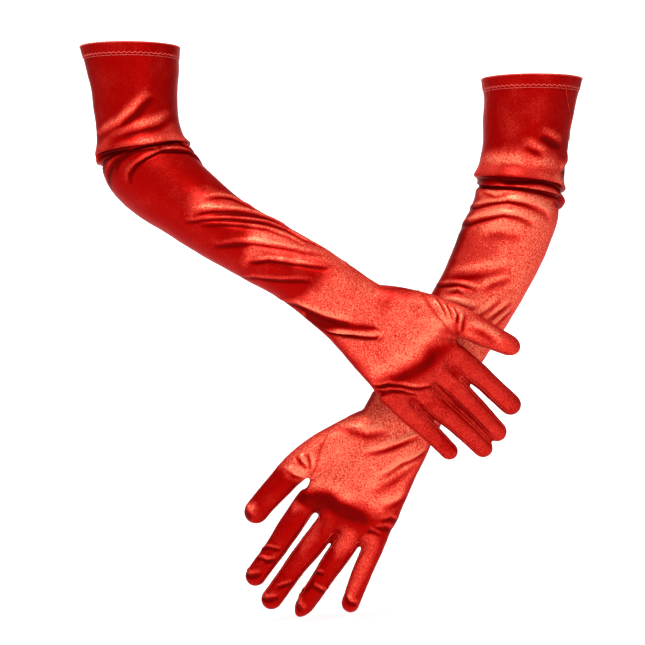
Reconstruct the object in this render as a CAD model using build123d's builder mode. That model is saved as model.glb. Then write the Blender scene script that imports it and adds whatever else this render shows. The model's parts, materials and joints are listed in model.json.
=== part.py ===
"""A pair of opera gloves in stretch satin, as they sit on two crossed arms.

Millimetres, +Z up. The origin is the centre of the left glove's arm opening. The backs of both hands
face -Y. The left glove hangs from the origin; the right glove crosses over it, on the -Y side.
Every sleeve, hand and finger is a thin cloth shell that an arm slides into, and the soft pieces are plain.
"""

from build123d import *

import math
import os
from dataclasses import dataclass

# Driving dimensions
CLOTH = 0.8  # one layer of satin, with its seam allowance
HEM_LAYERS = 2  # the arm opening is turned under and stitched
HEM_DEPTH = 11.0
OPENING_RADIUS = 40.6  # inside of the hem
STITCH_RADIUS = 0.35
STITCH_ROWS = (7.8, 9.4)  # below the rim: the two needle rows of a coverstitch
STITCH_CLEAR = 0.05
PIECE_GAP = 0.3  # between a sleeve's pieces along the arm
FOURCHETTE_ROOT = 0.74  # a fourchette's seams stand this far out at the finger's root, in radii
FOURCHETTE_POINT = 0.92  # and this far out at its point
FOURCHETTE_REACH = 0.8  # the point's distance along the finger, as a share of the finger's length
WEDGE_MARGIN = 1.0  # how far the block that cuts a fourchette stands clear of the finger
PALM_SETBACK = 2.0  # the palm ends this far short of the back, to let the fingers fold
BACK = Vector(0, -1, 0)  # the way that the backs of the hands face
PALM = Vector(0, 1, 0)


@dataclass
class Section:
    """One oval cross section of an arm: its centre, its heading and its two half widths.

    The heading is the way down the arm, in degrees from straight down towards +X.
    """

    x: float
    y: float
    z: float
    heading: float
    half_width: float
    half_depth: float

    @property
    def across(self):
        """Unit vector across the arm, in the XZ plane."""
        turn = math.radians(self.heading)
        return Vector(math.cos(turn), 0, math.sin(turn))

    @property
    def down(self):
        """Unit vector down the arm, in the XZ plane."""
        turn = math.radians(self.heading)
        return Vector(math.sin(turn), 0, -math.cos(turn))

    @property
    def centre(self):
        return Vector(self.x, self.y, self.z)

    @property
    def plane(self):
        """The plane that the oval is drawn on, with its X across the arm."""
        return Plane(origin=self.centre, x_dir=self.across, z_dir=self.down)

    def moved(self, distance):
        """The same section, further down the arm."""
        to = self.centre + self.down * distance
        return Section(to.X, to.Y, to.Z, self.heading, self.half_width, self.half_depth)


@dataclass
class Digit:
    """A finger or thumb: the centre of its root, the end of its tip and its two radii.

    Sides says which sides have a fourchette: -1 for the -across side, 1 for the +across side.
    """

    name: str
    root: tuple
    tip: tuple
    root_radius: float
    tip_radius: float
    sides: tuple = ()

    @property
    def along(self):
        return (Vector(*self.tip) - Vector(*self.root)).normalized()

    @property
    def across(self):
        """Unit vector across the finger, square to its length and to the hand's back."""
        return self.along.cross(PALM).normalized()

    @property
    def plane(self):
        """The finger's middle plane: X across it, Y along it, and Z towards the back or the palm."""
        return Plane(origin=self.root, x_dir=self.across, z_dir=self.across.cross(self.along))

    @property
    def length(self):
        return (Vector(*self.tip) - Vector(*self.root)).length


@dataclass
class Glove:
    """All the sections of one glove, from the arm opening to the fingertips."""

    side: str
    rim: Section
    upper: tuple
    gathers: tuple
    forearm: tuple
    hand: tuple
    gusset: tuple
    digits: tuple


LEFT = Glove(
    side="left",
    rim=Section(0, 0, 0, -2, OPENING_RADIUS, OPENING_RADIUS),
    upper=(
        Section(-0.5, 0.2, -HEM_DEPTH, -2, 41.2, 41.2),
        Section(-3.3, 1.5, -37.4, -4, 37.8, 38.0),
        Section(-7.5, 4.0, -82.0, -10, 36.5, 37.0),
    ),
    gathers=(
        Section(-7.6, 4.0, -82.6, -10, 36.6, 37.0),
        Section(-8.5, 4.2, -87.0, -11, 39.6, 40.0),
        Section(-9.4, 4.5, -91.2, -12, 36.0, 36.4),
        Section(-10.4, 4.6, -95.4, -13, 39.4, 39.6),
        Section(-11.2, 4.8, -99.6, -14, 36.0, 36.0),
        Section(-12.0, 5.0, -104.2, -16, 37.8, 37.6),
        Section(-13.4, 5.0, -109.0, -18, 36.4, 36.0),
    ),
    forearm=(
        Section(-13.6, 5.0, -109.6, -18, 36.4, 36.0),
        Section(-27.8, 3.0, -144.4, -25, 35.7, 33.0),
        Section(-48.1, 0.0, -186.8, -30, 32.8, 28.5),
        Section(-81.0, -3.0, -238.0, -33, 32.0, 24.0),
        Section(-98.0, -4.0, -264.2, -33, 31.6, 21.5),
    ),
    hand=(
        Section(-111.2, -4.0, -286.0, -31, 31.2, 19.4),
        Section(-134.9, -4.0, -318.5, -29, 38.6, 16.5),
        Section(-154.5, -3.0, -366.3, -18, 39.2, 13.2),
    ),
    gusset=(
        Section(-174.0, -4.0, -300.0, -58, 17.0, 13.0),
        Section(-192.3, -4.0, -320.6, -46, 12.6, 12.2),
    ),
    digits=(
        Digit("thumb", (-195.4, -4.0, -324.0), (-237.8, -8.0, -370.2), 11.0, 8.0),
        Digit("index", (-193.8, -3.0, -361.9), (-236.9, 1.0, -424.1), 9.6, 7.4, (1,)),
        Digit("middle", (-173.9, -3.0, -376.8), (-223.7, 3.0, -444.0), 9.6, 7.2, (-1, 1)),
        Digit("ring", (-151.5, -3.0, -383.5), (-197.1, 3.0, -451.5), 9.4, 6.8, (-1, 1)),
        Digit("little", (-129.1, -3.0, -382.6), (-154.8, 1.0, -447.4), 8.2, 6.2, (-1,)),
    ),
)

RIGHT = Glove(
    side="right",
    rim=Section(-337.8, 0, 26.6, 2, OPENING_RADIUS, OPENING_RADIUS),
    upper=(
        Section(-337.4, 0.0, 15.6, 2, 41.2, 41.2),
        Section(-332.6, -0.5, -20.8, 5, 36.5, 37.5),
        Section(-329.9, -2.0, -54.6, 10, 36.3, 37.0),
    ),
    gathers=(
        Section(-329.8, -2.0, -55.2, 10, 36.3, 37.0),
        Section(-329.0, -2.4, -59.0, 12, 39.2, 39.6),
        Section(-327.6, -2.8, -63.0, 14, 36.0, 36.4),
        Section(-325.8, -3.2, -67.4, 17, 38.6, 39.0),
        Section(-323.4, -3.6, -71.4, 20, 36.0, 36.0),
        Section(-319.2, -4.0, -77.0, 25, 36.2, 35.6),
    ),
    forearm=(
        Section(-319.0, -4.0, -77.4, 25, 36.2, 35.6),
        Section(-298.4, -9.0, -98.0, 46, 31.5, 32.0),
        Section(-263.1, -18.0, -124.5, 58, 28.8, 28.0),
        Section(-217.9, -30.0, -151.1, 60, 28.0, 24.0),
        Section(-180.4, -38.0, -173.2, 60, 28.8, 21.5),
    ),
    hand=(
        Section(-161.4, -41.0, -187.4, 56, 29.8, 19.2),
        Section(-128.0, -43.2, -215.4, 50, 38.4, 15.6),
        Section(-96.6, -41.6, -247.4, 39, 39.0, 13.0),
    ),
    gusset=(
        Section(-96.0, -43.5, -193.0, 78, 16.0, 13.0),
        Section(-73.6, -44.6, -200.2, 66, 12.6, 12.2),
    ),
    digits=(
        Digit("thumb", (-69.4, -44.8, -201.8), (-14.5, -43.0, -227.0), 11.0, 8.0),
        Digit("index", (-66.0, -41.6, -232.4), (-15.4, -37.0, -278.0), 9.6, 7.4, (-1,)),
        Digit("middle", (-73.4, -41.6, -252.3), (-27.0, -35.0, -300.4), 9.4, 7.2, (-1, 1)),
        Digit("ring", (-91.7, -41.6, -264.8), (-37.8, -34.0, -312.9), 9.4, 6.8, (-1, 1)),
        Digit("little", (-113.3, -41.6, -271.4), (-66.8, -34.0, -315.4), 8.2, 6.2, (1,)),
    ),
)


def keep(piece, name):
    """Labels one finished piece and writes it as its own STEP file."""
    piece.part.label = name
    export_step(piece.part, f"parts/{name}.step")


def sleeve(sections, cut=None, side=Keep.BOTH):
    """A cloth tube through the ovals, or the half of it on one side of a cut."""
    with BuildPart() as cloth:
        for section in sections:
            with BuildSketch(section.plane):
                Ellipse(section.half_width, section.half_depth)
        loft()
        for section in sections:
            with BuildSketch(section.plane):
                Ellipse(section.half_width - CLOTH, section.half_depth - CLOTH)
        loft(mode=Mode.SUBTRACT)
        if cut is not None:
            split(bisect_by=cut, keep=side)
    return cloth


def middle_plane(sections):
    """The plane down the middle of an arm that parts its back from its palm side."""
    run = sections[-1].centre - sections[0].centre
    across = sections[len(sections) // 2].across
    return Plane(origin=sections[0].centre, x_dir=run, z_dir=run.cross(across))


def towards(cut, direction):
    """The keep option for the half that lies on the side of a cut that a direction points to."""
    return Keep.TOP if cut.z_dir.dot(direction) > 0 else Keep.BOTTOM


def hem(rim):
    """The turned arm opening: a plain cylinder, the bore that the upper arm goes through."""
    with BuildPart() as band:
        with BuildSketch(rim.plane):
            Circle(OPENING_RADIUS + HEM_LAYERS * CLOTH)
            Circle(OPENING_RADIUS, mode=Mode.SUBTRACT)
        extrude(amount=HEM_DEPTH - PIECE_GAP)
    return band


def hem_stitching(rim):
    """Two rings of thread, laid round the outside of the hem."""
    ring_radius = OPENING_RADIUS + HEM_LAYERS * CLOTH + STITCH_RADIUS + STITCH_CLEAR
    with BuildPart() as rows:
        for depth in STITCH_ROWS:
            with Locations(rim.moved(depth).plane):
                Torus(ring_radius, STITCH_RADIUS)
    return rows


def digit_tube(digit):
    """A closed-ended cloth finger, turned about its own axis."""
    reach = digit.length - digit.tip_radius
    inner_root = digit.root_radius - CLOTH
    inner_tip = digit.tip_radius - CLOTH
    with BuildPart() as tube:
        with BuildSketch(digit.plane):
            with BuildLine():
                Line((inner_root, 0), (digit.root_radius, 0))
                Line((digit.root_radius, 0), (digit.tip_radius, reach))
                RadiusArc((digit.tip_radius, reach), (0, digit.length), -digit.tip_radius)
                Line((0, digit.length), (0, digit.length - CLOTH))
                RadiusArc((0, digit.length - CLOTH), (inner_tip, reach), inner_tip)
                Line((inner_tip, reach), (inner_root, 0))
            make_face()
        revolve(axis=Axis(digit.root, digit.along))
    return tube


def fourchette_wedge(digit, side):
    """The block on one side of a finger that holds its fourchette: it narrows towards the tip."""
    taper = (digit.root_radius - digit.tip_radius) / (digit.length - digit.tip_radius)
    far = digit.length * FOURCHETTE_REACH
    far_radius = digit.root_radius - taper * far
    outside = digit.root_radius + WEDGE_MARGIN
    with BuildPart() as wedge:
        with BuildSketch(digit.plane):
            with BuildLine():
                Polyline(
                    (side * digit.root_radius * FOURCHETTE_ROOT, -WEDGE_MARGIN),
                    (side * outside, -WEDGE_MARGIN),
                    (side * outside, far),
                    (side * far_radius * FOURCHETTE_POINT, far),
                    close=True,
                )
            make_face()
        extrude(amount=outside, both=True)
    return wedge


def digit_panel(digit, facing):
    """The back or the palm side of a finger, between its fourchettes."""
    with BuildPart() as panel:
        add(digit_tube(digit).part)
        for side in digit.sides:
            add(fourchette_wedge(digit, side).part, mode=Mode.SUBTRACT)
        split(bisect_by=digit.plane, keep=towards(digit.plane, facing))
    return panel


def fourchettes(digit):
    """The narrow side strips of a finger, one solid for each side that has one."""
    with BuildPart() as wedges:
        for side in digit.sides:
            add(fourchette_wedge(digit, side).part)
    with BuildPart() as strips:
        add(digit_tube(digit).part)
        add(wedges.part, mode=Mode.INTERSECT)
    return strips


def thumb_gusset(glove):
    """The short tube that carries the thumb, cut to the side of the hand."""
    with BuildPart() as gusset:
        for section in glove.gusset:
            with BuildSketch(section.plane):
                Ellipse(section.half_width, section.half_depth)
        loft()
        for section in glove.gusset:
            with BuildSketch(section.plane):
                Ellipse(section.half_width - CLOTH, section.half_depth - CLOTH)
        loft(mode=Mode.SUBTRACT)
        for section in glove.hand:
            with BuildSketch(section.plane):
                Ellipse(section.half_width + PIECE_GAP, section.half_depth + PIECE_GAP)
        loft(mode=Mode.SUBTRACT)
    return gusset


def palm_panel(sections, cut):
    """The palm side of the hand, a little shorter than the back."""
    limit = sections[-1].moved(-PALM_SETBACK).plane
    with BuildPart() as palm:
        add(sleeve(sections, cut, towards(cut, PALM)).part)
        split(bisect_by=limit, keep=Keep.BOTTOM)
    return palm


def write_arm(glove):
    """The pieces from the arm opening to the wrist."""
    keep(hem(glove.rim), f"{glove.side}_cuff_hem")
    keep(hem_stitching(glove.rim), f"{glove.side}_hem_stitching")
    for region, sections in (("upper_sleeve", glove.upper), ("forearm", glove.forearm)):
        cut = middle_plane(sections)
        keep(sleeve(sections, cut, towards(cut, BACK)), f"{glove.side}_{region}_back")
        keep(sleeve(sections, cut, towards(cut, PALM)), f"{glove.side}_{region}_front")
    keep(sleeve(glove.gathers), f"{glove.side}_elbow_gathers")
    wrist = (glove.forearm[-1].moved(PIECE_GAP), glove.hand[0].moved(-PIECE_GAP))
    keep(sleeve(wrist), f"{glove.side}_wrist_sleeve")


def write_hand(glove):
    """The pieces from the wrist to the fingertips."""
    cut = middle_plane(glove.hand)
    keep(sleeve(glove.hand, cut, towards(cut, BACK)), f"{glove.side}_hand_back")
    keep(palm_panel(glove.hand, cut), f"{glove.side}_hand_palm")
    keep(thumb_gusset(glove), f"{glove.side}_thumb_gusset")
    for digit in glove.digits:
        keep(digit_panel(digit, BACK), f"{glove.side}_{digit.name}_back")
        keep(digit_panel(digit, PALM), f"{glove.side}_{digit.name}_front")
        if digit.sides:
            keep(fourchettes(digit), f"{glove.side}_{digit.name}_fourchette")


os.makedirs("parts", exist_ok=True)
for glove in (LEFT, RIGHT):
    write_arm(glove)
    write_hand(glove)
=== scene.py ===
"""A pair of opera gloves in elastic satin, as they sit on two crossed arms.

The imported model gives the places: the arm openings, the joints and the fingertips. Each glove's skin is
grown round them as one surface, gets its folds, and is then cut into the pieces that move apart. Shapes
are worked out in millimetres and made in metres.
"""

from __future__ import annotations

import json
import logging
import math
import random
from collections.abc import Iterable
from dataclasses import dataclass, field
from enum import Enum

import bmesh
import bpy
import numpy as np
from mathutils import Matrix, Vector, noise
from mathutils.bvhtree import BVHTree

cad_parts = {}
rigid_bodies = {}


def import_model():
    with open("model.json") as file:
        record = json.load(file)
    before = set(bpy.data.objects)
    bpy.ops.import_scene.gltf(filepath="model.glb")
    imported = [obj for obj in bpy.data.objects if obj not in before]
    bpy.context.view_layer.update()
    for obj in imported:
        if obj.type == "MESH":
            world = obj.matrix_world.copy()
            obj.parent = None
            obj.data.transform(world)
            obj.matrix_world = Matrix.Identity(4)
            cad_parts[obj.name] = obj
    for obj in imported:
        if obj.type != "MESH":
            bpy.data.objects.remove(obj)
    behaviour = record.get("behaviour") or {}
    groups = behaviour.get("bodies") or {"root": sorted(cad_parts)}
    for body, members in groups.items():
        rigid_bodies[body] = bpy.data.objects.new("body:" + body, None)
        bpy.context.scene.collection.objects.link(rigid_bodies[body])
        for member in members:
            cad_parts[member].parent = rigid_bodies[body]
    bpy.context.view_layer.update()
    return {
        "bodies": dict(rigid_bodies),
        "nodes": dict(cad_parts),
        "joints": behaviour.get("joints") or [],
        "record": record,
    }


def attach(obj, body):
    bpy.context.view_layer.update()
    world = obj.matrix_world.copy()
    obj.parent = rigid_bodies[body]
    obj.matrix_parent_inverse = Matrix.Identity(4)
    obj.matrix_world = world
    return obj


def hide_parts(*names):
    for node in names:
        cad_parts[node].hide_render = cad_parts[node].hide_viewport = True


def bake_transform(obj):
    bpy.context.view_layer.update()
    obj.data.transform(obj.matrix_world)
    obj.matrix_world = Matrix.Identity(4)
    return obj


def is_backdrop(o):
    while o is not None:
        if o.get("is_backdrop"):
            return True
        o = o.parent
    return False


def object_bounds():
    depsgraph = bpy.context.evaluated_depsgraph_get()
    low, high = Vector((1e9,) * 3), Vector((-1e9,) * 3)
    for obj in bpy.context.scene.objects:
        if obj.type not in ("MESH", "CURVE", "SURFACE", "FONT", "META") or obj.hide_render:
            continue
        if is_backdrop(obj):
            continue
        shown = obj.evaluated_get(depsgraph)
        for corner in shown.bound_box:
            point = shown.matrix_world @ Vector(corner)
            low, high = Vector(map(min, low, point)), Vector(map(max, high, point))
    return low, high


LOG = logging.getLogger("opera_gloves")
MM = 0.001
TOWARDS_PALM = np.array([0.0, 1.0, 0.0])
DOWN = np.array([0.0, 0.0, -1.0])
FINGERS = ("index", "middle", "ring", "little")
DIGITS = ("thumb", *FINGERS)

# In millimetres.
VOXEL = 1.0  # the skin's mesh size
CLOTH = 0.5  # the satin's thickness
SEAM_RADIUS = 0.38
RIM_RADIUS = 0.62
THREAD_RADIUS = 0.21
WEB_RADIUS = 4.2  # the piping's bend round the web between two fingers
CURL_OFFSET = 4.0  # from a curl joint's axis to the middle of the finger
HEM_DEPTH = 13.0
STITCH_ROWS = (9.2, 11.3)  # the hem's two rows of stitches, below the rim
ELBOW_REACH = 28.0  # the gathers go this far up and down from the elbow
WRIST_REACH = 22.0
CURL_REACH = 15.0  # a digit bends over this length
WEB_RISE = 3.0  # a digit's piece starts this far past its root, so that the webs stay with the hand
LEAP = 4.0  # a seam breaks off where its points lie further apart

# Shares and counts.
DARKEST_PAINTED_SHADE = -0.2  # the level of painted shade at the bottom of a crease; where no light is painted the level is 0
STITCH_COUNT = 112  # stitches round one arm opening
ARM_CUT = 3.0  # how far out a cut round the arm reaches, as a share of the arm's radius
DIGIT_CUT = 1.7  # the same for a cut round a digit
DIGIT_CLOTH = 1.3  # how far out the cloth still belongs to a digit


class Hand(Enum):
    """Which hand a glove is cut for."""

    LEFT = "left"
    RIGHT = "right"


def smoothstep(low: float, high: float, value: np.ndarray) -> np.ndarray:
    """Rises smoothly from 0 at low to 1 at high.

    Args:
        low: where the rise starts.
        high: where it ends; it may be below low, which turns the step round.
        value: the values to step.

    Returns:
        The step at each value.
    """
    t = np.clip((value - low) / (high - low), 0.0, 1.0)
    return t * t * (3.0 - 2.0 * t)


def ease(knots: np.ndarray, values: np.ndarray, at: np.ndarray) -> np.ndarray:
    """A smooth curve through values that are given at knots.

    Args:
        knots: increasing places.
        values: one number or one row for each knot.
        at: the places to read the curve at.

    Returns:
        The curve at each place.
    """
    slopes = np.gradient(values, knots, axis=0)
    i = np.clip(np.searchsorted(knots, at, side="right") - 1, 0, len(knots) - 2)
    span = knots[i + 1] - knots[i]
    t = np.clip((at - knots[i]) / span, 0.0, 1.0)
    if values.ndim > 1:
        span, t = span[:, None], t[:, None]
    start = (2 * t**3 - 3 * t**2 + 1) * values[i] + (t**3 - 2 * t**2 + t) * span * slopes[i]
    end = (3 * t**2 - 2 * t**3) * values[i + 1] + (t**3 - t**2) * span * slopes[i + 1]
    return start + end


def add_object(name: str, data: bpy.types.ID) -> bpy.types.Object:
    """Puts a new object into the scene.

    Args:
        name: its name.
        data: its mesh, curve, lamp or camera.

    Returns:
        The object.
    """
    made = bpy.data.objects.new(name, data)
    bpy.context.scene.collection.objects.link(made)
    return made


def add_material(name: str, sockets: dict[str, float | tuple[float, ...]]) -> bpy.types.Material:
    """Makes a material with a set shader.

    Args:
        name: its name.
        sockets: the values of the shader's sockets.

    Returns:
        The material.
    """
    made = bpy.data.materials.new(name)
    made.use_nodes = True
    for socket, value in sockets.items():
        made.node_tree.nodes["Principled BSDF"].inputs[socket].default_value = value
    return made


@dataclass(frozen=True)
class Girth:
    """One cross section of a limb, in millimetres.

    Attributes:
        run: how far it stands between two landmarks, from 0 to 1; past them it may go beyond.
        aside: how far its centre stands to the across side of the straight line between them.
        half_width: half its size across.
        half_depth: half its size from the back of the hand to the palm.
    """

    run: float
    aside: float
    half_width: float
    half_depth: float


class Limb:
    """A round form along a smooth centre line, with a way to read and to place points on it.

    Distance runs along the line from its zero point. The angle runs round it: 0 on the across side, 90 on
    the back of the hand and -90 on the palm.
    """

    STEP = 1.5  # between two samples of the centre line
    ROW_STEP = 2.0  # between two rows of a tube's points
    NOSE_ROWS = 9
    RIM_TURN = (35.0, 75.0)  # the sections turn from the rim's heading to the line's own between these
    BLOCK = 20000  # points that are located at a time

    def __init__(
        self,
        centres: np.ndarray,
        half_widths: np.ndarray,
        half_depths: np.ndarray,
        zero: np.ndarray,
        rim_heading: np.ndarray | None = None,
    ) -> None:
        """Lays the line through the centres.

        Args:
            centres: one centre for each section.
            half_widths: half the size across at each.
            half_depths: half the size from back to palm at each.
            zero: the point that distances are counted from.
            rim_heading: the way that the first sections face, where it isn't the way of the line.
        """
        chords = np.linalg.norm(np.diff(centres, axis=0), axis=1)
        knots = np.concatenate([[0.0], np.cumsum(chords)])
        count = int(knots[-1] / self.STEP) + 2
        at = np.linspace(0.0, knots[-1], count)
        self.points = ease(knots, centres, at)
        steps = np.linalg.norm(np.diff(self.points, axis=0), axis=1)
        self.distance = np.concatenate([[0.0], np.cumsum(steps)])
        self.widths = ease(knots, half_widths, at)
        self.depths = ease(knots, half_depths, at)
        tangents = np.gradient(self.points, self.distance, axis=0)
        if rim_heading is not None:
            turned = smoothstep(*self.RIM_TURN, self.distance)[:, None]
            tangents = tangents * turned + rim_heading * (1.0 - turned)
        self.tangents = tangents / np.linalg.norm(tangents, axis=1)[:, None]
        across = np.cross(self.tangents, TOWARDS_PALM)
        self.across = across / np.linalg.norm(across, axis=1)[:, None]
        self.back = np.cross(self.tangents, self.across)
        self.distance = self.distance - self.locate(zero[None])[0][0]

    @property
    def start(self) -> float:
        """The distance where the centre line starts."""
        return float(self.distance[0])

    @property
    def end(self) -> float:
        """The distance where the centre line ends."""
        return float(self.distance[-1])

    def read(self, rows: np.ndarray, at: np.ndarray) -> np.ndarray:
        """Reads one of the limb's own rows at any distance.

        Args:
            rows: a number or a vector for each sample of the line.
            at: the distances.

        Returns:
            The rows at those distances.
        """
        if rows.ndim == 1:
            return np.interp(at, self.distance, rows)
        return np.stack([np.interp(at, self.distance, rows[:, k]) for k in range(rows.shape[1])], axis=1)

    def place(self, at: np.ndarray, degrees: np.ndarray, scale: np.ndarray | float = 1.0) -> np.ndarray:
        """Points on the limb's surface.

        Args:
            at: distances along the limb. Past its ends it carries straight on.
            degrees: angles round it.
            scale: how far out, as a share of the surface's own distance.

        Returns:
            One point for each distance and angle.
        """
        turn = np.radians(degrees)
        inside = np.clip(at, self.start, self.end)
        centre = self.read(self.points, inside) + self.read(self.tangents, inside) * (at - inside)[:, None]
        wide = self.read(self.widths, inside) * scale * np.cos(turn)
        deep = self.read(self.depths, inside) * scale * np.sin(turn)
        centre += self.read(self.across, inside) * wide[:, None]
        return centre + self.read(self.back, inside) * deep[:, None]

    def locate(self, points: np.ndarray) -> tuple[np.ndarray, np.ndarray, np.ndarray]:
        """Where points stand on the limb.

        Args:
            points: the points to find.

        Returns:
            The distance along the limb, the angle round it in degrees, and how far out each point is as
            a share of the surface's own distance.
        """
        nearest = np.empty(len(points), int)
        for start in range(0, len(points), self.BLOCK):
            block = points[start : start + self.BLOCK]
            gap = (block**2).sum(1)[:, None] + (self.points**2).sum(1)[None] - 2.0 * block @ self.points.T
            nearest[start : start + self.BLOCK] = gap.argmin(1)
        away = points - self.points[nearest]
        along = self.distance[nearest] + (away * self.tangents[nearest]).sum(1)
        x = (away * self.across[nearest]).sum(1)
        y = (away * self.back[nearest]).sum(1)
        out = np.hypot(x / self.widths[nearest], y / self.depths[nearest])
        angle = np.degrees(np.arctan2(y / self.depths[nearest], x / self.widths[nearest]))
        return along, angle, out

    def wrap(self, form: bmesh.types.BMesh, start: float, end: float, around: int, nose: float) -> None:
        """Adds the limb to a mesh as a closed tube with a flat start and a rounded end.

        Args:
            form: the mesh to add to.
            start: the distance where it starts.
            end: the distance where its nose ends.
            around: faces round it.
            nose: the length of its rounded end.
        """
        straight = np.arange(start, end - nose, self.ROW_STEP)
        bend = np.linspace(0.0, math.pi / 2, self.NOSE_ROWS)
        at = np.concatenate([[start], straight, end - nose + nose * np.sin(bend)])
        scale = np.concatenate([[0.0], np.ones(len(straight)), np.cos(bend)])
        rows = len(at) - 1
        made = bmesh.ops.create_grid(form, x_segments=around, y_segments=rows, size=0.5)["verts"]
        flat = np.array([v.co for v in made])
        row = np.rint((flat[:, 1] + 0.5) * rows).astype(int)
        places = self.place(at[row], (flat[:, 0] + 0.5) * 360.0, scale[row])
        for vertex, place in zip(made, places):
            vertex.co = place
        bmesh.ops.remove_doubles(form, verts=made, dist=0.01)


@dataclass(frozen=True)
class Landmarks:
    """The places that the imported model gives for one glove, in millimetres."""

    rim: np.ndarray
    elbow: np.ndarray
    wrist: np.ndarray
    roots: dict[str, np.ndarray]
    tips: dict[str, np.ndarray]

    @property
    def knuckles(self) -> np.ndarray:
        """The middle of the four finger roots."""
        return np.mean([self.roots[name] for name in FINGERS], axis=0)


def landmarks(frame: dict, hand: Hand) -> Landmarks:
    """Reads one glove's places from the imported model.

    Args:
        hand: the glove.

    Returns:
        Its landmarks.
    """
    side = hand.value
    joints = {joint["name"]: joint for joint in frame["joints"]}
    mounts = {mount["name"]: mount for mount in frame["record"]["mounts"]}
    offset = -CURL_OFFSET if hand is Hand.LEFT else CURL_OFFSET
    roots, tips = {}, {}
    for name in DIGITS:
        joint = joints[f"{side}_thumb_spread" if name == "thumb" else f"{side}_{name}_curl"]
        roots[name] = np.array(joint["pos_m"]) / MM
        if name != "thumb":
            roots[name][1] += offset
        mesh = frame["nodes"][f"{side}_{name}_back"].data
        corners = np.array([vertex.co for vertex in mesh.vertices]) / MM
        tips[name] = corners[np.linalg.norm(corners - roots[name], axis=1).argmax()]
    return Landmarks(
        rim=np.array(mounts[f"{side}_arm_opening"]["pos_m"]) / MM,
        elbow=np.array(joints[f"{side}_elbow"]["pos_m"]) / MM,
        wrist=np.array(joints[f"{side}_wrist"]["pos_m"]) / MM,
        roots=roots,
        tips=tips,
    )


@dataclass(frozen=True)
class Fold:
    """A crease that the cloth makes: a crest with a valley beside it.

    Attributes:
        path: points along its crest, each a distance along the limb in millimetres and an angle round it.
        height: how far the crest stands out, in millimetres.
        width: half the crest's width, in millimetres.
        lean: how far the crest slides along the limb, in millimetres, so that it hangs over its valley.
        valley: the depth of the valley, as a share of the height.
    """

    path: tuple[tuple[float, float], ...]
    height: float
    width: float
    lean: float = 0.0
    valley: float = 0.6

    REACH = 5.0  # how far it is felt, in widths
    TROUGH = 1.7  # from the crest to the bottom of its valley, in widths
    RIPPLE = 7.0  # the pace of its uneven height, in millimetres

    def press(
        self, at: np.ndarray, degrees: np.ndarray, radius: np.ndarray
    ) -> tuple[np.ndarray, np.ndarray, np.ndarray, np.ndarray]:
        """How far the fold moves the points that are near it, and the highlight and shade that it paints on
        them.

        Args:
            at: the points' distances along the limb.
            degrees: their angles round it.
            radius: the limb's radius at each.

        Returns:
            The points that it reaches, as indices, and for each of them the move outwards, the move along
            the limb, both in millimetres, and the painted highlight on the crest and painted shade in the
            valley.
        """
        runs = [place[0] for place in self.path]
        reach = self.REACH * self.width
        near = np.nonzero((at > min(runs) - reach) & (at < max(runs) + reach))[0]
        at, degrees, radius = at[near], degrees[near], radius[near]
        best = np.full(len(near), 1e9)
        side = np.ones(len(near))
        share = np.zeros(len(near))
        middle = float(radius.mean()) if len(near) else 1.0
        legs = list(zip(self.path[:-1], self.path[1:]))
        lengths = [math.hypot(b[0] - a[0], math.radians(b[1] - a[1]) * middle) for a, b in legs]
        total, done = sum(lengths), 0.0
        for (a, b), length in zip(legs, lengths):
            u = at - a[0]
            v = np.radians((degrees - a[1] + 180.0) % 360.0 - 180.0) * radius
            run = b[0] - a[0]
            turn = np.radians(b[1] - a[1]) * radius
            t = np.clip((u * run + v * turn) / (run**2 + turn**2), 0.0, 1.0)
            gap = np.hypot(u - t * run, v - t * turn)
            nearer = gap < best
            best = np.where(nearer, gap, best)
            side = np.where(nearer, np.where(u * turn < v * run, -1.0, 1.0), side)
            share = np.where(nearer, (done + t * length) / total, share)
            done += length
        signed = best * side / self.width
        fade = np.sin(np.pi * share) ** 0.6
        ripple = 1.0 + 0.2 * np.sin(share * total / self.RIPPLE + self.path[0][0])
        crest = np.exp(-(np.abs(signed) ** 1.5))
        trough = np.exp(-((signed - self.TROUGH) ** 2))
        rise = self.height * fade * ripple * (crest - self.valley * trough)
        # A painted highlight along the crest and painted shade in the valley; a fold of negative height
        # paints a dark line instead.
        strength = math.copysign(min(1.0, 0.35 + 0.35 * abs(self.height)), self.height)
        glint = 0.55 * np.exp(-((signed + 0.3) ** 2))
        painted_shine = fade * strength * (glint - 0.8 * trough * (self.valley > 0.0))
        return near, rise, self.lean * fade * crest, painted_shine


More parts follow.
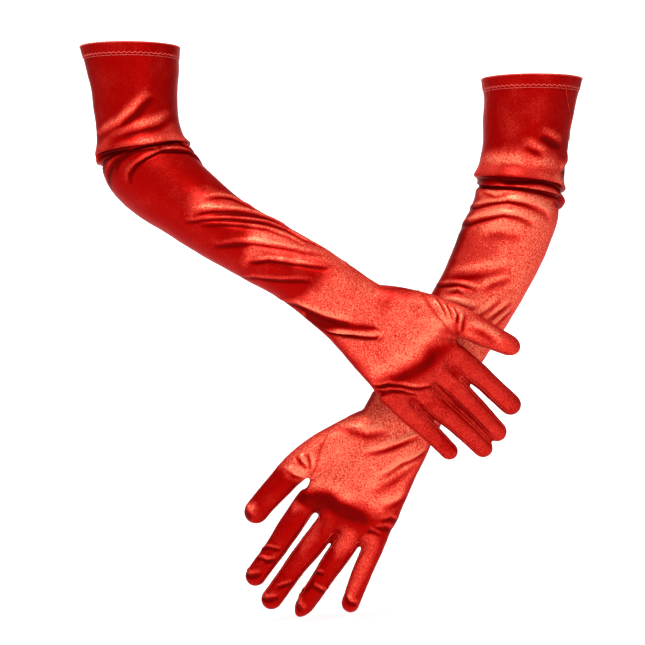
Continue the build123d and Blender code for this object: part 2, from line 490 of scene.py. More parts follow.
@dataclass(frozen=True)
class PaintedLightPatch:
    """An area of painted light: a painted highlight that makes the satin paler, or painted shade that makes
    it deeper.

    Attributes:
        outline: its corners, each a distance along the limb in millimetres and an angle round it.
        level: how much highlight is painted inside; below 0 it is painted shade.
        soft: half the width of its edge, in millimetres.
    """

    outline: tuple[tuple[float, float], ...]
    level: float
    soft: float

    def spread(
        self, at: np.ndarray, degrees: np.ndarray, radius: np.ndarray
    ) -> tuple[np.ndarray, np.ndarray]:
        """How much light is painted at the points that the patch reaches.

        Args:
            at: the points' distances along the limb.
            degrees: their angles round it.
            radius: the limb's radius at each.

        Returns:
            The points, as indices, and the painted light at each.
        """
        corners = np.array(self.outline)
        low, high = corners.min(axis=0), corners.max(axis=0)
        middle = 0.5 * (low[1] + high[1])
        turned = middle + (degrees - middle + 180.0) % 360.0 - 180.0
        margin = 2.0 * self.soft
        turns = np.abs(turned - middle) < 0.5 * (high[1] - low[1]) + np.degrees(margin / radius)
        near = np.nonzero(turns & (at > low[0] - margin) & (at < high[0] + margin))[0]
        at, turned, radius = at[near], turned[near], radius[near]
        gap = np.full(len(near), 1e9)
        inside = np.zeros(len(near), bool)
        for a, b in zip(corners, np.roll(corners, -1, axis=0)):
            u, v = a[0] - at, np.radians(a[1] - turned) * radius
            run, turn = b[0] - a[0], np.radians(b[1] - a[1]) * radius
            t = np.clip(-(u * run + v * turn) / (run**2 + turn**2), 0.0, 1.0)
            gap = np.minimum(gap, np.hypot(u + t * run, v + t * turn))
            crosses = (v > 0.0) != (v + turn > 0.0)
            with np.errstate(divide="ignore", invalid="ignore"):
                inside ^= crosses & (u - v * run / turn > 0.0)
        depth = np.where(inside, gap, -gap)
        return near, self.level * smoothstep(-self.soft, self.soft, depth)


@dataclass(frozen=True)
class Seam:
    """A line of sewing.

    Attributes:
        limb: the limb that its path is measured on.
        path: points along it, each a distance along the limb in millimetres and an angle round it.
    """

    limb: str
    path: tuple[tuple[float, float], ...]


class Skin:
    """One glove's surface while it is shaped: its mesh, its points and the edges between them."""

    OVERSHOOT = 1.04  # a round that undoes the shrinking goes this much further than the one before

    def __init__(self, mesh: bpy.types.Mesh) -> None:
        """Reads the mesh's points and edges.

        Args:
            mesh: the surface, in metres.
        """
        self.mesh = mesh
        self.points = self._floats(mesh.vertices, "co", 3) / MM
        pairs = np.empty(len(mesh.edges) * 2, np.int64)
        mesh.edges.foreach_get("vertices", pairs)
        self.pairs = pairs.reshape(-1, 2)

    @staticmethod
    def _floats(items: bpy.types.bpy_prop_collection, name: str, size: int) -> np.ndarray:
        """Reads one property of many items.

        Args:
            items: the items.
            name: the property.
            size: how many numbers it holds.

        Returns:
            One row for each item.
        """
        flat = np.empty(len(items) * size, np.float32)
        items.foreach_get(name, flat)
        return flat.reshape(-1, size).astype(float)

    def store(self) -> None:
        """Writes the points back to the mesh."""
        self.mesh.vertices.foreach_set("co", (self.points * MM).astype(np.float32).ravel())
        self.mesh.update()

    def normals(self) -> np.ndarray:
        """The outward direction at each point."""
        self.store()
        return self._floats(self.mesh.vertex_normals, "vector", 3)

    def smooth(self, rounds: int, amount: np.ndarray | float, keep_size: bool = True) -> None:
        """Evens the surface out.

        Args:
            rounds: how many times each point moves towards its neighbours.
            amount: how far, from 0 to 1, for all points or for each.
            keep_size: whether every second round undoes the shrinking.
        """
        count = len(self.points)
        a, b = self.pairs[:, 0], self.pairs[:, 1]
        degree = np.bincount(a, minlength=count) + np.bincount(b, minlength=count)
        for turn in range(rounds * (2 if keep_size else 1)):
            mean = np.empty_like(self.points)
            for k in range(3):
                column = self.points[:, k]
                total = np.bincount(a, column[b], count) + np.bincount(b, column[a], count)
                mean[:, k] = total / np.maximum(degree, 1)
            step = (mean - self.points) * (amount if np.isscalar(amount) else amount[:, None])
            self.points += step * (-self.OVERSHOOT if keep_size and turn % 2 else 1.0)


def voxel_mesh(form: bmesh.types.BMesh, name: str) -> bpy.types.Mesh:
    """Joins overlapping closed forms into one even surface.

    Args:
        form: the forms, in millimetres; it is freed.
        name: the new mesh's name.

    Returns:
        The surface, in metres.
    """
    bmesh.ops.scale(form, vec=(MM, MM, MM), verts=form.verts)
    bmesh.ops.recalc_face_normals(form, faces=form.faces)
    rough = bpy.data.meshes.new(name + "_rough")
    form.to_mesh(rough)
    form.free()
    carrier = add_object(name + "_rough", rough)
    remesh = carrier.modifiers.new("even", "REMESH")
    remesh.mode = "VOXEL"
    remesh.voxel_size = VOXEL * MM
    graph = bpy.context.evaluated_depsgraph_get()
    mesh = bpy.data.meshes.new_from_object(carrier.evaluated_get(graph))
    bpy.data.objects.remove(carrier)
    bpy.data.meshes.remove(rough)
    mesh.name = name
    return mesh


@dataclass(frozen=True)
class Join:
    """How a digit grows out of the hand.

    Attributes:
        melt: how far round its root the skin is evened out, in millimetres.
        lead: how far before the root the digit's own folds start, in millimetres.
        last: how far past the root the hand's folds end, in millimetres.
        reach: how far out the digit's own folds stay whole, as a share of its radius.
    """

    melt: float
    lead: float
    last: float
    reach: float


FINGER_JOIN = Join(melt=19.0, lead=4.0, last=8.0, reach=1.5)
THUMB_JOIN = Join(melt=30.0, lead=25.0, last=26.0, reach=1.25)


@dataclass
class Glove:
    """One glove: its girths, its folds and the pieces that it is cut into.

    Attributes:
        hand: which hand it is for.
        upper: the sections from the arm opening to the elbow.
        fore: the sections from the elbow to the wrist.
        palm: the sections from the wrist to the knuckles.
        finger_radii: each finger's radius at its root, its middle and near its tip.
        thumb_heel: how far the thumb's base stands down the palm and aside from the wrist.
        bows: how far each digit's middle bends aside.
        noses: the length of a long fingertip, as a share of its radius.
        folds: the creases on each limb.
        patches: the areas of painted highlight and painted shade on each limb.
        seams: the lines of sewing, besides those along the fingers.
        cuff_painted_light: how much highlight is painted above the elbow, from 0 to 1.
        digit_painted_light: how much highlight is painted on the fingers.
        thumb_painted_light: how much highlight is painted on the thumb.
        inner_sides: the fingers with a strip sewn in, and the angles of its seams.
    """

    hand: Hand
    upper: tuple[Girth, ...]
    fore: tuple[Girth, ...]
    palm: tuple[Girth, ...]
    finger_radii: dict[str, tuple[float, float, float]]
    thumb_heel: tuple[float, float]
    bows: dict[str, float]
    noses: dict[str, float]
    folds: dict[str, tuple[Fold, ...]]
    patches: dict[str, tuple[PaintedLightPatch, ...]]
    seams: tuple[Seam, ...]
    cuff_painted_light: float
    digit_painted_light: float
    thumb_painted_light: float
    inner_sides: dict[str, tuple[float, ...]]
    marks: Landmarks = None
    arm: Limb = None
    digits: dict[str, Limb] = field(default_factory=dict)

    ROOT_DEPTH = 16.0  # a finger starts this far inside the hand
    ABOVE_RIM = 12.0  # the arm starts this far above the rim, and is cut off there
    ARM_NOSE = 14.0
    NOSE = 1.05  # a fingertip's length, as a share of its radius
    HEEL_WIDTHS = (15.0, 18.0)  # half the thumb's size at its heel and half-way to its root
    HEEL_DEPTHS = (13.0, 14.5)
    ARM_AROUND, DIGIT_AROUND = 72, 40  # faces round a limb
    CUFF_END = (100.0, 80.0)  # the painted highlight above the elbow fades out between these distances
    PAINTED_SIDE_SHADE = 0.45  # how much painted highlight gives way to painted shade along the sides, away from the back and the palm

    def grow(self, frame: dict) -> None:
        """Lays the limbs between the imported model's landmarks.
        """
        self.marks = landmarks(frame, self.hand)
        centres, widths, depths = [], [], []
        ways = (
            (self.marks.rim, self.marks.elbow, self.upper),
            (self.marks.elbow, self.marks.wrist, self.fore),
            (self.marks.wrist, self.marks.knuckles, self.palm),
        )
        for start, end, girths in ways:
            run = end - start
            across = np.cross(run / np.linalg.norm(run), TOWARDS_PALM)
            for girth in girths:
                centres.append(start + run * girth.run + across * girth.aside)
                widths.append(girth.half_width)
                depths.append(girth.half_depth)
        self.arm = Limb(np.array(centres), np.array(widths), np.array(depths), self.marks.rim, DOWN)
        for name in DIGITS:
            self.digits[name] = self._digit(name)

    def _digit(self, name: str) -> Limb:
        """Lays one finger or the thumb, starting inside the hand.

        Args:
            name: the digit.

        Returns:
            Its limb.
        """
        root, tip = self.marks.roots[name], self.marks.tips[name]
        along = (tip - root) / np.linalg.norm(tip - root)
        across = np.cross(along, TOWARDS_PALM)
        first, middle, last = self.finger_radii[name]
        length = np.linalg.norm(tip - root)
        centres = [root, root + along * length * 0.5 + across * self.bows[name], tip + along * 0.5]
        widths = [first, middle, last]
        if name == "thumb":
            run = self.marks.knuckles - self.marks.wrist
            run = run / np.linalg.norm(run)
            down, aside = self.thumb_heel
            heel = self.marks.wrist + run * down + np.cross(run, TOWARDS_PALM) * aside
            centres = [heel, heel + (root - heel) * 0.5, *centres]
            widths = [*self.HEEL_WIDTHS, *widths]
            depths = [*self.HEEL_DEPTHS, first * 0.95, middle * 0.95, last * 0.9]
        else:
            centres = [root - along * self.ROOT_DEPTH, *centres]
            widths = [first * 0.95, *widths]
            depths = [first * 0.82, first * 0.9, middle * 0.88, last * 0.84]
        return Limb(np.array(centres), np.array(widths), np.array(depths), root)

    def skin(self) -> Skin:
        """Joins the limbs into one surface and evens it out.

        Returns:
            The skin, without folds.
        """
        form = bmesh.new()
        self.arm.wrap(form, -self.ABOVE_RIM, self.arm.end, self.ARM_AROUND, self.ARM_NOSE)
        for name, limb in self.digits.items():
            nose = self.finger_radii[name][2] * self.noses.get(name, self.NOSE)
            limb.wrap(form, limb.start, limb.end, self.DIGIT_AROUND, nose)
        skin = Skin(voxel_mesh(form, f"{self.hand.value}_skin"))
        skin.smooth(6, 0.55)
        near = np.zeros(len(skin.points))
        for name in DIGITS:
            gap = np.linalg.norm(skin.points - self.marks.roots[name], axis=1)
            melt = self.join(name).melt
            near = np.maximum(near, smoothstep(melt, melt * 0.45, gap))
        skin.smooth(40, 0.6 * near, keep_size=False)
        return skin

    def shape(self, skin: Skin) -> None:
        """Presses the folds and fine creases into the skin, and paints highlights and shade into its colour
        through a point attribute.

        Args:
            skin: the glove's surface.
        """
        count = len(skin.points)
        # pale sums the light painted at each point: painted highlight above 0, painted shade below
        rise, pale = np.zeros(count), np.zeros(count)
        slide = np.zeros((count, 3))
        rest = np.ones(count)
        ragged = self._ragged(skin.points)
        for name in (*DIGITS, "arm"):
            limb = self.limb(name)
            at, degrees, out = limb.locate(skin.points)
            radius = limb.read(0.5 * (limb.widths + limb.depths), at)
            own = rest.copy()
            if name != "arm":
                join = self.join(name)
                own *= smoothstep(-join.lead - 6.0, 2.0 - join.lead, at)
                own *= smoothstep(join.reach + 0.25, join.reach, out)
                rest *= 1.0 - smoothstep(0.0, join.last, at) * smoothstep(1.75, 1.5, out)
            heading = limb.read(limb.tangents, at)
            for fold in (*self.folds.get(name, ()), *self.spare_folds(name), *self.grooves(name)):
                near, up, along, painted_shine = fold.press(at, degrees, radius)
                rise[near] += own[near] * up
                slide[near] += heading[near] * (own[near] * along)[:, None]
                pale[near] += own[near] * painted_shine
            for patch in self.patches.get(name, ()):
                sway = min(0.7 * patch.soft, 4.0) * ragged
                near, level = patch.spread(at + sway, degrees + 1.7 * sway, radius)
                pale[near] += own[near] * level
            if name == "arm":
                # Painted highlight on the hand towards the knuckles and above the elbow, and painted
                # highlight on the palm side.
                knuckles = smoothstep(self.wrist_at + 65.0, self.wrist_at + 95.0, at)
                cuff = self.cuff_painted_light * smoothstep(*self.CUFF_END, at)
                pale += own * (cuff + self._palm_side_highlight(at, degrees))
                pale += own * self.digit_painted_light * knuckles
                rise += own * self._hem(at, degrees)
            else:
                # Painted highlight on the digit.
                tone = self.thumb_painted_light if name == "thumb" else self.digit_painted_light
                pale += own * smoothstep(-3.0, 12.0, at) * tone
        rise += self._crumple(skin.points)
        skin.points += skin.normals() * rise[:, None] + slide
        skin.smooth(2, 0.5)
        # Painted shade along the sides, where the surface turns away from the back and the palm.
        sides = self.PAINTED_SIDE_SHADE * (1.0 - np.abs(skin.normals()[:, 1])) ** 2
        pale -= np.minimum(sides, np.maximum(pale, 0.0))
        # The painted highlight and shade go to the material as a point attribute.
        stretch = skin.mesh.attributes.new("stretch", "FLOAT", "POINT")
        stretch.data.foreach_set("value", np.clip(pale, DARKEST_PAINTED_SHADE, 1.0).astype(np.float32))

    def limb(self, name: str) -> Limb:
        """The arm or one of the digits."""
        return self.arm if name == "arm" else self.digits[name]

    @staticmethod
    def join(name: str) -> Join:
        """How a digit grows out of the hand."""
        return THUMB_JOIN if name == "thumb" else FINGER_JOIN

    def _palm_side_highlight(self, at: np.ndarray, degrees: np.ndarray) -> np.ndarray:
        """The painted highlight on the palm side of the forearm and the hand.

        Args:
            at: distances along the arm.
            degrees: angles round it.

        Returns:
            The painted highlight at each place.
        """
        side = smoothstep(-10.0, -40.0, degrees) * smoothstep(-170.0, -140.0, degrees)
        return 0.45 * side * smoothstep(100.0, 150.0, at) * smoothstep(390.0, 350.0, at)

    def _hem(self, at: np.ndarray, degrees: np.ndarray) -> np.ndarray:
        """The turned hem's thickness, its puckers and the groove under its stitches.

        Args:
            at: distances along the arm.
            degrees: angles round it.

        Returns:
            The rise at each place, in millimetres.
        """
        turned = 0.5 * smoothstep(STITCH_ROWS[1] + 1.5, STITCH_ROWS[0] - 1.0, at)
        pull = np.exp(-(((at - STITCH_ROWS[0] - 1.0) / 1.6) ** 2))
        pucker = np.sin(np.radians(degrees) * 31.0) + 0.6 * np.sin(np.radians(degrees) * 47.0 + 1.0)
        return turned - 0.45 * pull + 0.12 * pucker * np.exp(-(((at - 10.0) / 5.0) ** 2))

    @staticmethod
    def _ragged(points: np.ndarray) -> np.ndarray:
        """An uneven value from about -1 to 1 at each point, which breaks up the patches' edges."""
        return np.array([noise.noise((x / 11.0, y / 11.0, z / 9.0)) for x, y, z in points])

    def _crumple(self, points: np.ndarray) -> np.ndarray:
        """The slight unevenness of the whole skin.

        Args:
            points: the skin's points, in millimetres.

        Returns:
            The rise at each point, in millimetres.
        """
        made = np.empty(len(points))
        for k, (x, y, z) in enumerate(points):
            broad = noise.noise((x / 26.0, y / 26.0, z / 17.0))
            made[k] = 0.5 * broad + 0.14 * noise.noise((x / 7.0, y / 7.0, z / 5.0))
        return made

    def grooves(self, name: str) -> list[Fold]:
        """The grooves that one limb's seams pull into the cloth.

        Args:
            name: the limb.

        Returns:
            Its grooves.
        """
        paths = [seam.path for seam in self.seams if seam.limb == name]
        for angle in self.inner_sides.get(name, ()):
            paths.append(((-3.0, angle), (self.digits[name].end, angle)))
        # Each groove also paints a dark line of shade along its seam.
        return [Fold(path, -0.45, 1.5, 0.0, 0.0) for path in paths]

    def spare_folds(self, name: str) -> list[Fold]:
        """The smaller folds of one limb, laid where the cloth is slack.

        Args:
            name: the limb.

        Returns:
            Its folds.
        """
        chance = random.Random(f"{self.hand.value} {name}")
        made = []
        if name == "arm":
            stretches = (
                (self.elbow_at, 26.0, 7, 1.2),
                (self.elbow_at + 80.0, 45.0, 6, 0.8),
                (self.wrist_at, 26.0, 7, 0.9),
            )
            for middle, spread, count, height in stretches:
                for _ in range(count):
                    at = middle + chance.uniform(-spread, spread)
                    turn = chance.uniform(-150.0, -90.0)
                    path = [(at + chance.uniform(-5.0, 5.0) + 6.0 * k, turn + 35.0 * k) for k in range(4)]
                    tall = height * chance.uniform(0.6, 1.2)
                    made.append(Fold(tuple(path), tall, chance.uniform(2.0, 3.4), 0.6))
            return made
        end = self.digits[name].end
        for share in (0.36, 0.66) if name != "thumb" else (0.3,):
            for shift in (-2.5, 2.5):
                at = end * share + shift + chance.uniform(-1.0, 1.0)
                turn = chance.uniform(-150.0, -120.0)
                path = [(at + chance.uniform(-1.2, 1.2), turn + 40.0 * k) for k in range(4)]
                made.append(Fold(tuple(path), chance.uniform(0.35, 0.6), chance.uniform(1.5, 2.2)))
        return made

    @property
    def elbow_at(self) -> float:
        """The elbow's distance along the arm."""
        return float(self.arm.locate(self.marks.elbow[None])[0][0])

    @property
    def wrist_at(self) -> float:
        """The wrist's distance along the arm."""
        return float(self.arm.locate(self.marks.wrist[None])[0][0])

    def regions(self) -> list[Region]:
        """The stretches of the arm that move in different ways.

        Returns:
            Them, from the arm opening down.
        """
        elbow, wrist = self.elbow_at, self.wrist_at
        stretches = (
            ("cuff_hem", 0.0, HEM_DEPTH, "sleeve"),
            ("upper_sleeve", HEM_DEPTH, elbow - ELBOW_REACH, "sleeve"),
            ("elbow_gathers", elbow - ELBOW_REACH, elbow + ELBOW_REACH, "sleeve", "forearm"),
            ("forearm", elbow + ELBOW_REACH, wrist - WRIST_REACH, "forearm"),
            ("wrist_sleeve", wrist - WRIST_REACH, wrist + WRIST_REACH, "forearm", "hand"),
            ("hand", wrist + WRIST_REACH, self.arm.end, "hand"),
        )
        made = []
        for name, start, end, *bodies in stretches:
            made.append(Region(name, start, end, tuple(f"{self.hand.value}_{body}" for body in bodies)))
        return made

    def flat(self, region: Region) -> tuple[float, float]:
        """The size that a region's cloth is cut to.

        Args:
            region: the part of the glove.

        Returns:
            Its width round the limb and its length along it, in metres.
        """
        limb = self.limb(region.name) if region.name in DIGITS else self.arm
        end = limb.end if region.name in DIGITS else region.end
        at = np.linspace(region.start, end, 25)
        widths, depths = limb.read(limb.widths, at), limb.read(limb.depths, at)
        girth = 2.0 * math.pi * np.sqrt(0.5 * (widths**2 + depths**2))
        return float(girth.mean()) * MM, float(end - region.start) * MM

    def attach(self, piece: bpy.types.Object, region: Region) -> None:
        """Makes a piece ride on its region's body; a piece that lies between two bodies is only baked in
        place.

        Args:
            piece: the finished piece.
            region: the part of the glove that it is on.
        """
        if len(region.bodies) == 1:
            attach(piece, region.bodies[0])
            return
        limb = self.digits.get(region.name, self.arm)
        ends = limb.place(np.array([region.start + 1.0, region.end - 1.0]), np.zeros(2), 0.0)
        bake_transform(piece)


@dataclass(frozen=True)
class Region:
    """A part of a glove that rides on one body, or lies between two.

    Attributes:
        name: the piece's plain name.
        start: where it starts, in millimetres along its limb.
        end: where it ends; on a digit, where its bend ends.
        bodies: the body that it rides on, or the two that it lies between.
    """

    name: str
    start: float
    end: float
    bodies: tuple[str, ...]


class Cutter:
    """Cuts one glove's finished skin into its pieces, with no seam to see between them."""

    def __init__(self, glove: Glove, skin: Skin) -> None:
        """Cuts clean edges along every border between pieces.

        Args:
            glove: the glove.
            skin: its finished surface.
        """
        self.glove = glove
        self.form = bmesh.new()
        skin.store()
        self.form.from_mesh(skin.mesh)
        self.arm_regions = glove.regions()
        side = glove.hand.value
        self.digit_regions = []
        for name in DIGITS:
            bodies = (f"{side}_hand", f"{side}_{name}")
            self.digit_regions.append(Region(name, WEB_RISE, WEB_RISE + CURL_REACH, bodies))
        for region in self.arm_regions:
            self._cut(glove.arm, region.start, ARM_CUT, clear=region.start == 0.0)
        for region in self.digit_regions:
            self._cut(glove.digits[region.name], region.start, DIGIT_CUT)
        self.form.normal_update()
        self.whole = self.form.verts.layers.float_vector.new("whole_normal")
        for vertex in self.form.verts:
            vertex[self.whole] = vertex.normal
        self.labels = self._label(self._centres())
        self.tree = BVHTree.FromBMesh(self.form)

    def _centres(self) -> np.ndarray:
        """The middle of each face, in millimetres."""
        return np.array([face.calc_center_median() for face in self.form.faces]) / MM

    def _cut(self, limb: Limb, at: float, reach: float, clear: bool = False) -> None:
        """Cuts an edge loop round a limb.

        Args:
            limb: the limb to cut.
            at: the distance along it.
            reach: how far out a face may stand and still be cut, as a share of the surface's distance.
            clear: whether what comes before the cut is thrown away.
        """
        along, _, out = limb.locate(self._centres())
        margin = 60.0 if clear else 5.0
        near = (np.abs(along - at) < margin) & (out < reach)
        faces = [face for face, keep in zip(self.form.faces, near) if keep]
        geometry = set(faces)
        for face in faces:
            geometry.update(face.edges)
            geometry.update(face.verts)
        middle = limb.place(np.array([at]), np.zeros(1), 0.0)[0] * MM
        heading = limb.read(limb.tangents, np.array([at]))[0]
        bmesh.ops.bisect_plane(
            self.form,
            geom=list(geometry),
            dist=1e-6,
            plane_co=middle,
            plane_no=heading,
            clear_inner=clear,
        )

    def _label(self, centres: np.ndarray) -> np.ndarray:
        """Which region each point belongs to.

        Args:
            centres: the points, in millimetres.

        Returns:
            Each one's region, as an index into the regions.
        """
        along, _, _ = self.glove.arm.locate(centres)
        starts = np.array([region.start for region in self.arm_regions])
        labels = np.clip(np.searchsorted(starts, along, side="right") - 1, 0, len(starts) - 1)
        best = np.full(len(centres), DIGIT_CLOTH)
        for k, region in enumerate(self.digit_regions):
            along, _, out = self.glove.digits[region.name].locate(centres)
            mine = (along > region.start) & (out < best)
            best = np.where(mine, out, best)
            labels = np.where(mine, len(starts) + k, labels)
        return labels

    def regions(self) -> list[Region]:
        """Every region, in the order of the labels."""
        return self.arm_regions + self.digit_regions

    def snap(self, limb: Limb, path: np.ndarray, lift: float) -> np.ndarray:
        """Lays a path on the skin.

        Args:
            limb: the limb that it is measured on.
            path: rows of a distance along the limb and an angle round it.
            lift: how far it stands above the skin, in millimetres.

        Returns:
            Its points, without those that miss the skin.
        """
        clear = 1.25 if limb in [self.glove.digits[name] for name in FINGERS] else 1.8
        outside = limb.place(path[:, 0], path[:, 1], clear) * MM
        inside = limb.place(path[:, 0], path[:, 1], 0.0) * MM
        return self._drop(outside, inside - outside, lift)

    def _drop(self, starts: np.ndarray, headings: np.ndarray, lift: float) -> np.ndarray:
        """Drops points onto the skin.

        Args:
            starts: where each one starts, in metres.
            headings: which way each one goes.
            lift: how far it stops above the skin, in millimetres.

        Returns:
            Where they land, in millimetres, without those that miss.
        """
        landed = []
        for start, heading in zip(starts, headings):
            place, normal, _, _ = self.tree.ray_cast(Vector(start), Vector(heading))
            if place is not None:
                landed.append(np.array(place + normal * lift * MM) / MM)
        return np.array(landed).reshape(-1, 3)

    def web(self, first: str, second: str) -> np.ndarray:
        """The path of the piping round the web between two fingers, on the back of the hand.

        Args:
            first: one finger.
            second: the finger next to it.

        Returns:
            Its points, in millimetres.
        """
        glove = self.glove
        roots = [glove.marks.roots[name] for name in (first, second)]
        ways = [glove.marks.tips[name] - glove.marks.roots[name] for name in (first, second)]
        heading = sum(way / np.linalg.norm(way) for way in ways)
        heading[1] = 0.0
        heading /= np.linalg.norm(heading)
        middle = 0.5 * (roots[0] + roots[1])
        aside = np.cross(heading, TOWARDS_PALM)
        steps = middle + heading * np.arange(-4.0, 26.0, 0.5)[:, None]
        steps[:, 1] = middle[1] - 40.0
        gap = 0
        for step in steps:
            hit = self.tree.ray_cast(Vector(step * MM), Vector(TOWARDS_PALM))[0]
            if hit is None or hit.y / MM > middle[1] - 3.0:
                break
            gap += 1
        centre = steps[min(gap, len(steps) - 1)] + heading * 2.0
        turns = np.radians(np.linspace(-90.0, 90.0, 19))[:, None]
        bend = centre + WEB_RADIUS * (aside * np.sin(turns) - heading * np.cos(turns))
        arms = np.arange(1.0, 9.0)[:, None] * heading
        path = np.concatenate([(bend[0] + arms)[::-1], bend, bend[-1] + arms])
        return self._drop(path * MM, np.tile(TOWARDS_PALM, (len(path), 1)), 0.1)

    def strands(self) -> list[np.ndarray]:
        """Every seam of the glove.

        Returns:
            Each one's points on the skin, in millimetres.
        """
        glove = self.glove
        made = []
        for seam in glove.seams:
            limb = glove.limb(seam.limb)
            corners = np.array(seam.path, float)
            knots = np.arange(len(corners), dtype=float)
            path = ease(knots, corners, np.linspace(0.0, knots[-1], 12 * len(corners)))
            made.append(self.snap(limb, path, 0.1))
        for name, angles in glove.inner_sides.items():
            end = glove.digits[name].end
            for angle in angles:
                at = np.arange(4.0, end - 5.0, 1.5)
                path = np.stack([at, np.full(len(at), angle)], axis=1)
                made.append(self.snap(glove.digits[name], path, 0.05))
        for first, second in zip(FINGERS[:-1], FINGERS[1:]):
            made.append(self.web(first, second))
        return [strand for strand in made if len(strand) > 2]

    def shares(self, strand: np.ndarray) -> dict[int, list[np.ndarray]]:
        """Splits a strand where it crosses from one region to the next.

        Args:
            strand: its points.

        Returns:
            For each region that it crosses, its runs of points there.
        """
        labels = self._label(strand)
        leaps = np.linalg.norm(np.diff(strand, axis=0), axis=1) > LEAP
        made: dict[int, list[np.ndarray]] = {}
        start = 0
        for k in range(1, len(strand) + 1):
            leap = k < len(strand) and leaps[k - 1]
            if k == len(strand) or labels[k] != labels[start] or leap:
                run = strand[start : min(k if leap else k + 1, len(strand))]
                if len(run) > 1:
                    made.setdefault(int(labels[start]), []).append(run)
                start = k
        return made

    def piece(self, index: int, name: str, thickness: float) -> bpy.types.Object:
        """Makes one piece, with its outer and inner faces.

        Args:
            index: the region's place in the list.
            name: the object's name.
            thickness: the cloth's thickness, in millimetres.

        Returns:
            The piece, with no material.
        """
        form = self.form.copy()
        form.faces.ensure_lookup_table()
        spare = [face for face, label in zip(form.faces, self.labels) if label != index]
        bmesh.ops.delete(form, geom=spare, context="FACES")
        whole = form.verts.layers.float_vector["whole_normal"]
        inner = list(form.verts)
        under = list(form.faces)
        made = bmesh.ops.extrude_face_region(form, geom=under, use_keep_orig=True)["geom"]
        outer = {item for item in made if isinstance(item, bmesh.types.BMVert)}
        for vertex in inner:
            vertex.co -= vertex[whole] * thickness * MM
        if form.calc_volume(signed=True) < 0.0:
            bmesh.ops.reverse_faces(form, faces=form.faces)
        normals = [vertex[whole] * (1.0 if vertex in outer else -1.0) for vertex in form.verts]
        mesh = bpy.data.meshes.new(name)
        form.to_mesh(mesh)
        form.free()
        mesh.shade_smooth()
        mesh.normals_split_custom_set_from_vertices([tuple(normal) for normal in normals])
        return add_object(name, mesh)


def cords(
    name: str, runs: list[np.ndarray], radius: float, stretch: float, closed: bool = False
) -> bpy.types.Object:
    """Makes round cords along runs of points.

    Args:
        name: the object's name.
        runs: the points of each cord, in millimetres.
        radius: the cords' radius, in millimetres.
        stretch: how much highlight is painted on their satin.
        closed: whether each cord meets its own start.

    Returns:
        One mesh object with every cord.
    """
    line = bpy.data.curves.new(name + "_line", "CURVE")
    line.dimensions = "3D"
    line.bevel_depth = radius * MM
    line.bevel_resolution = 2
    line.use_fill_caps = not closed
    for run in runs:
        spline = line.splines.new("POLY")
        spline.points.add(len(run) - 1)
        flat = np.concatenate([run * MM, np.ones((len(run), 1))], axis=1)
        spline.points.foreach_set("co", flat.ravel())
        spline.use_cyclic_u = closed
    carrier = add_object(name + "_line", line)
    graph = bpy.context.evaluated_depsgraph_get()
    mesh = bpy.data.meshes.new_from_object(carrier.evaluated_get(graph))
    bpy.data.objects.remove(carrier)
    bpy.data.curves.remove(line)
    mesh.shade_smooth()
    # Every cord carries one level of painted highlight.
    mark = mesh.attributes.new("stretch", "FLOAT", "POINT")
    mark.data.foreach_set("value", np.full(len(mesh.vertices), stretch, np.float32))
    return add_object(name, mesh)


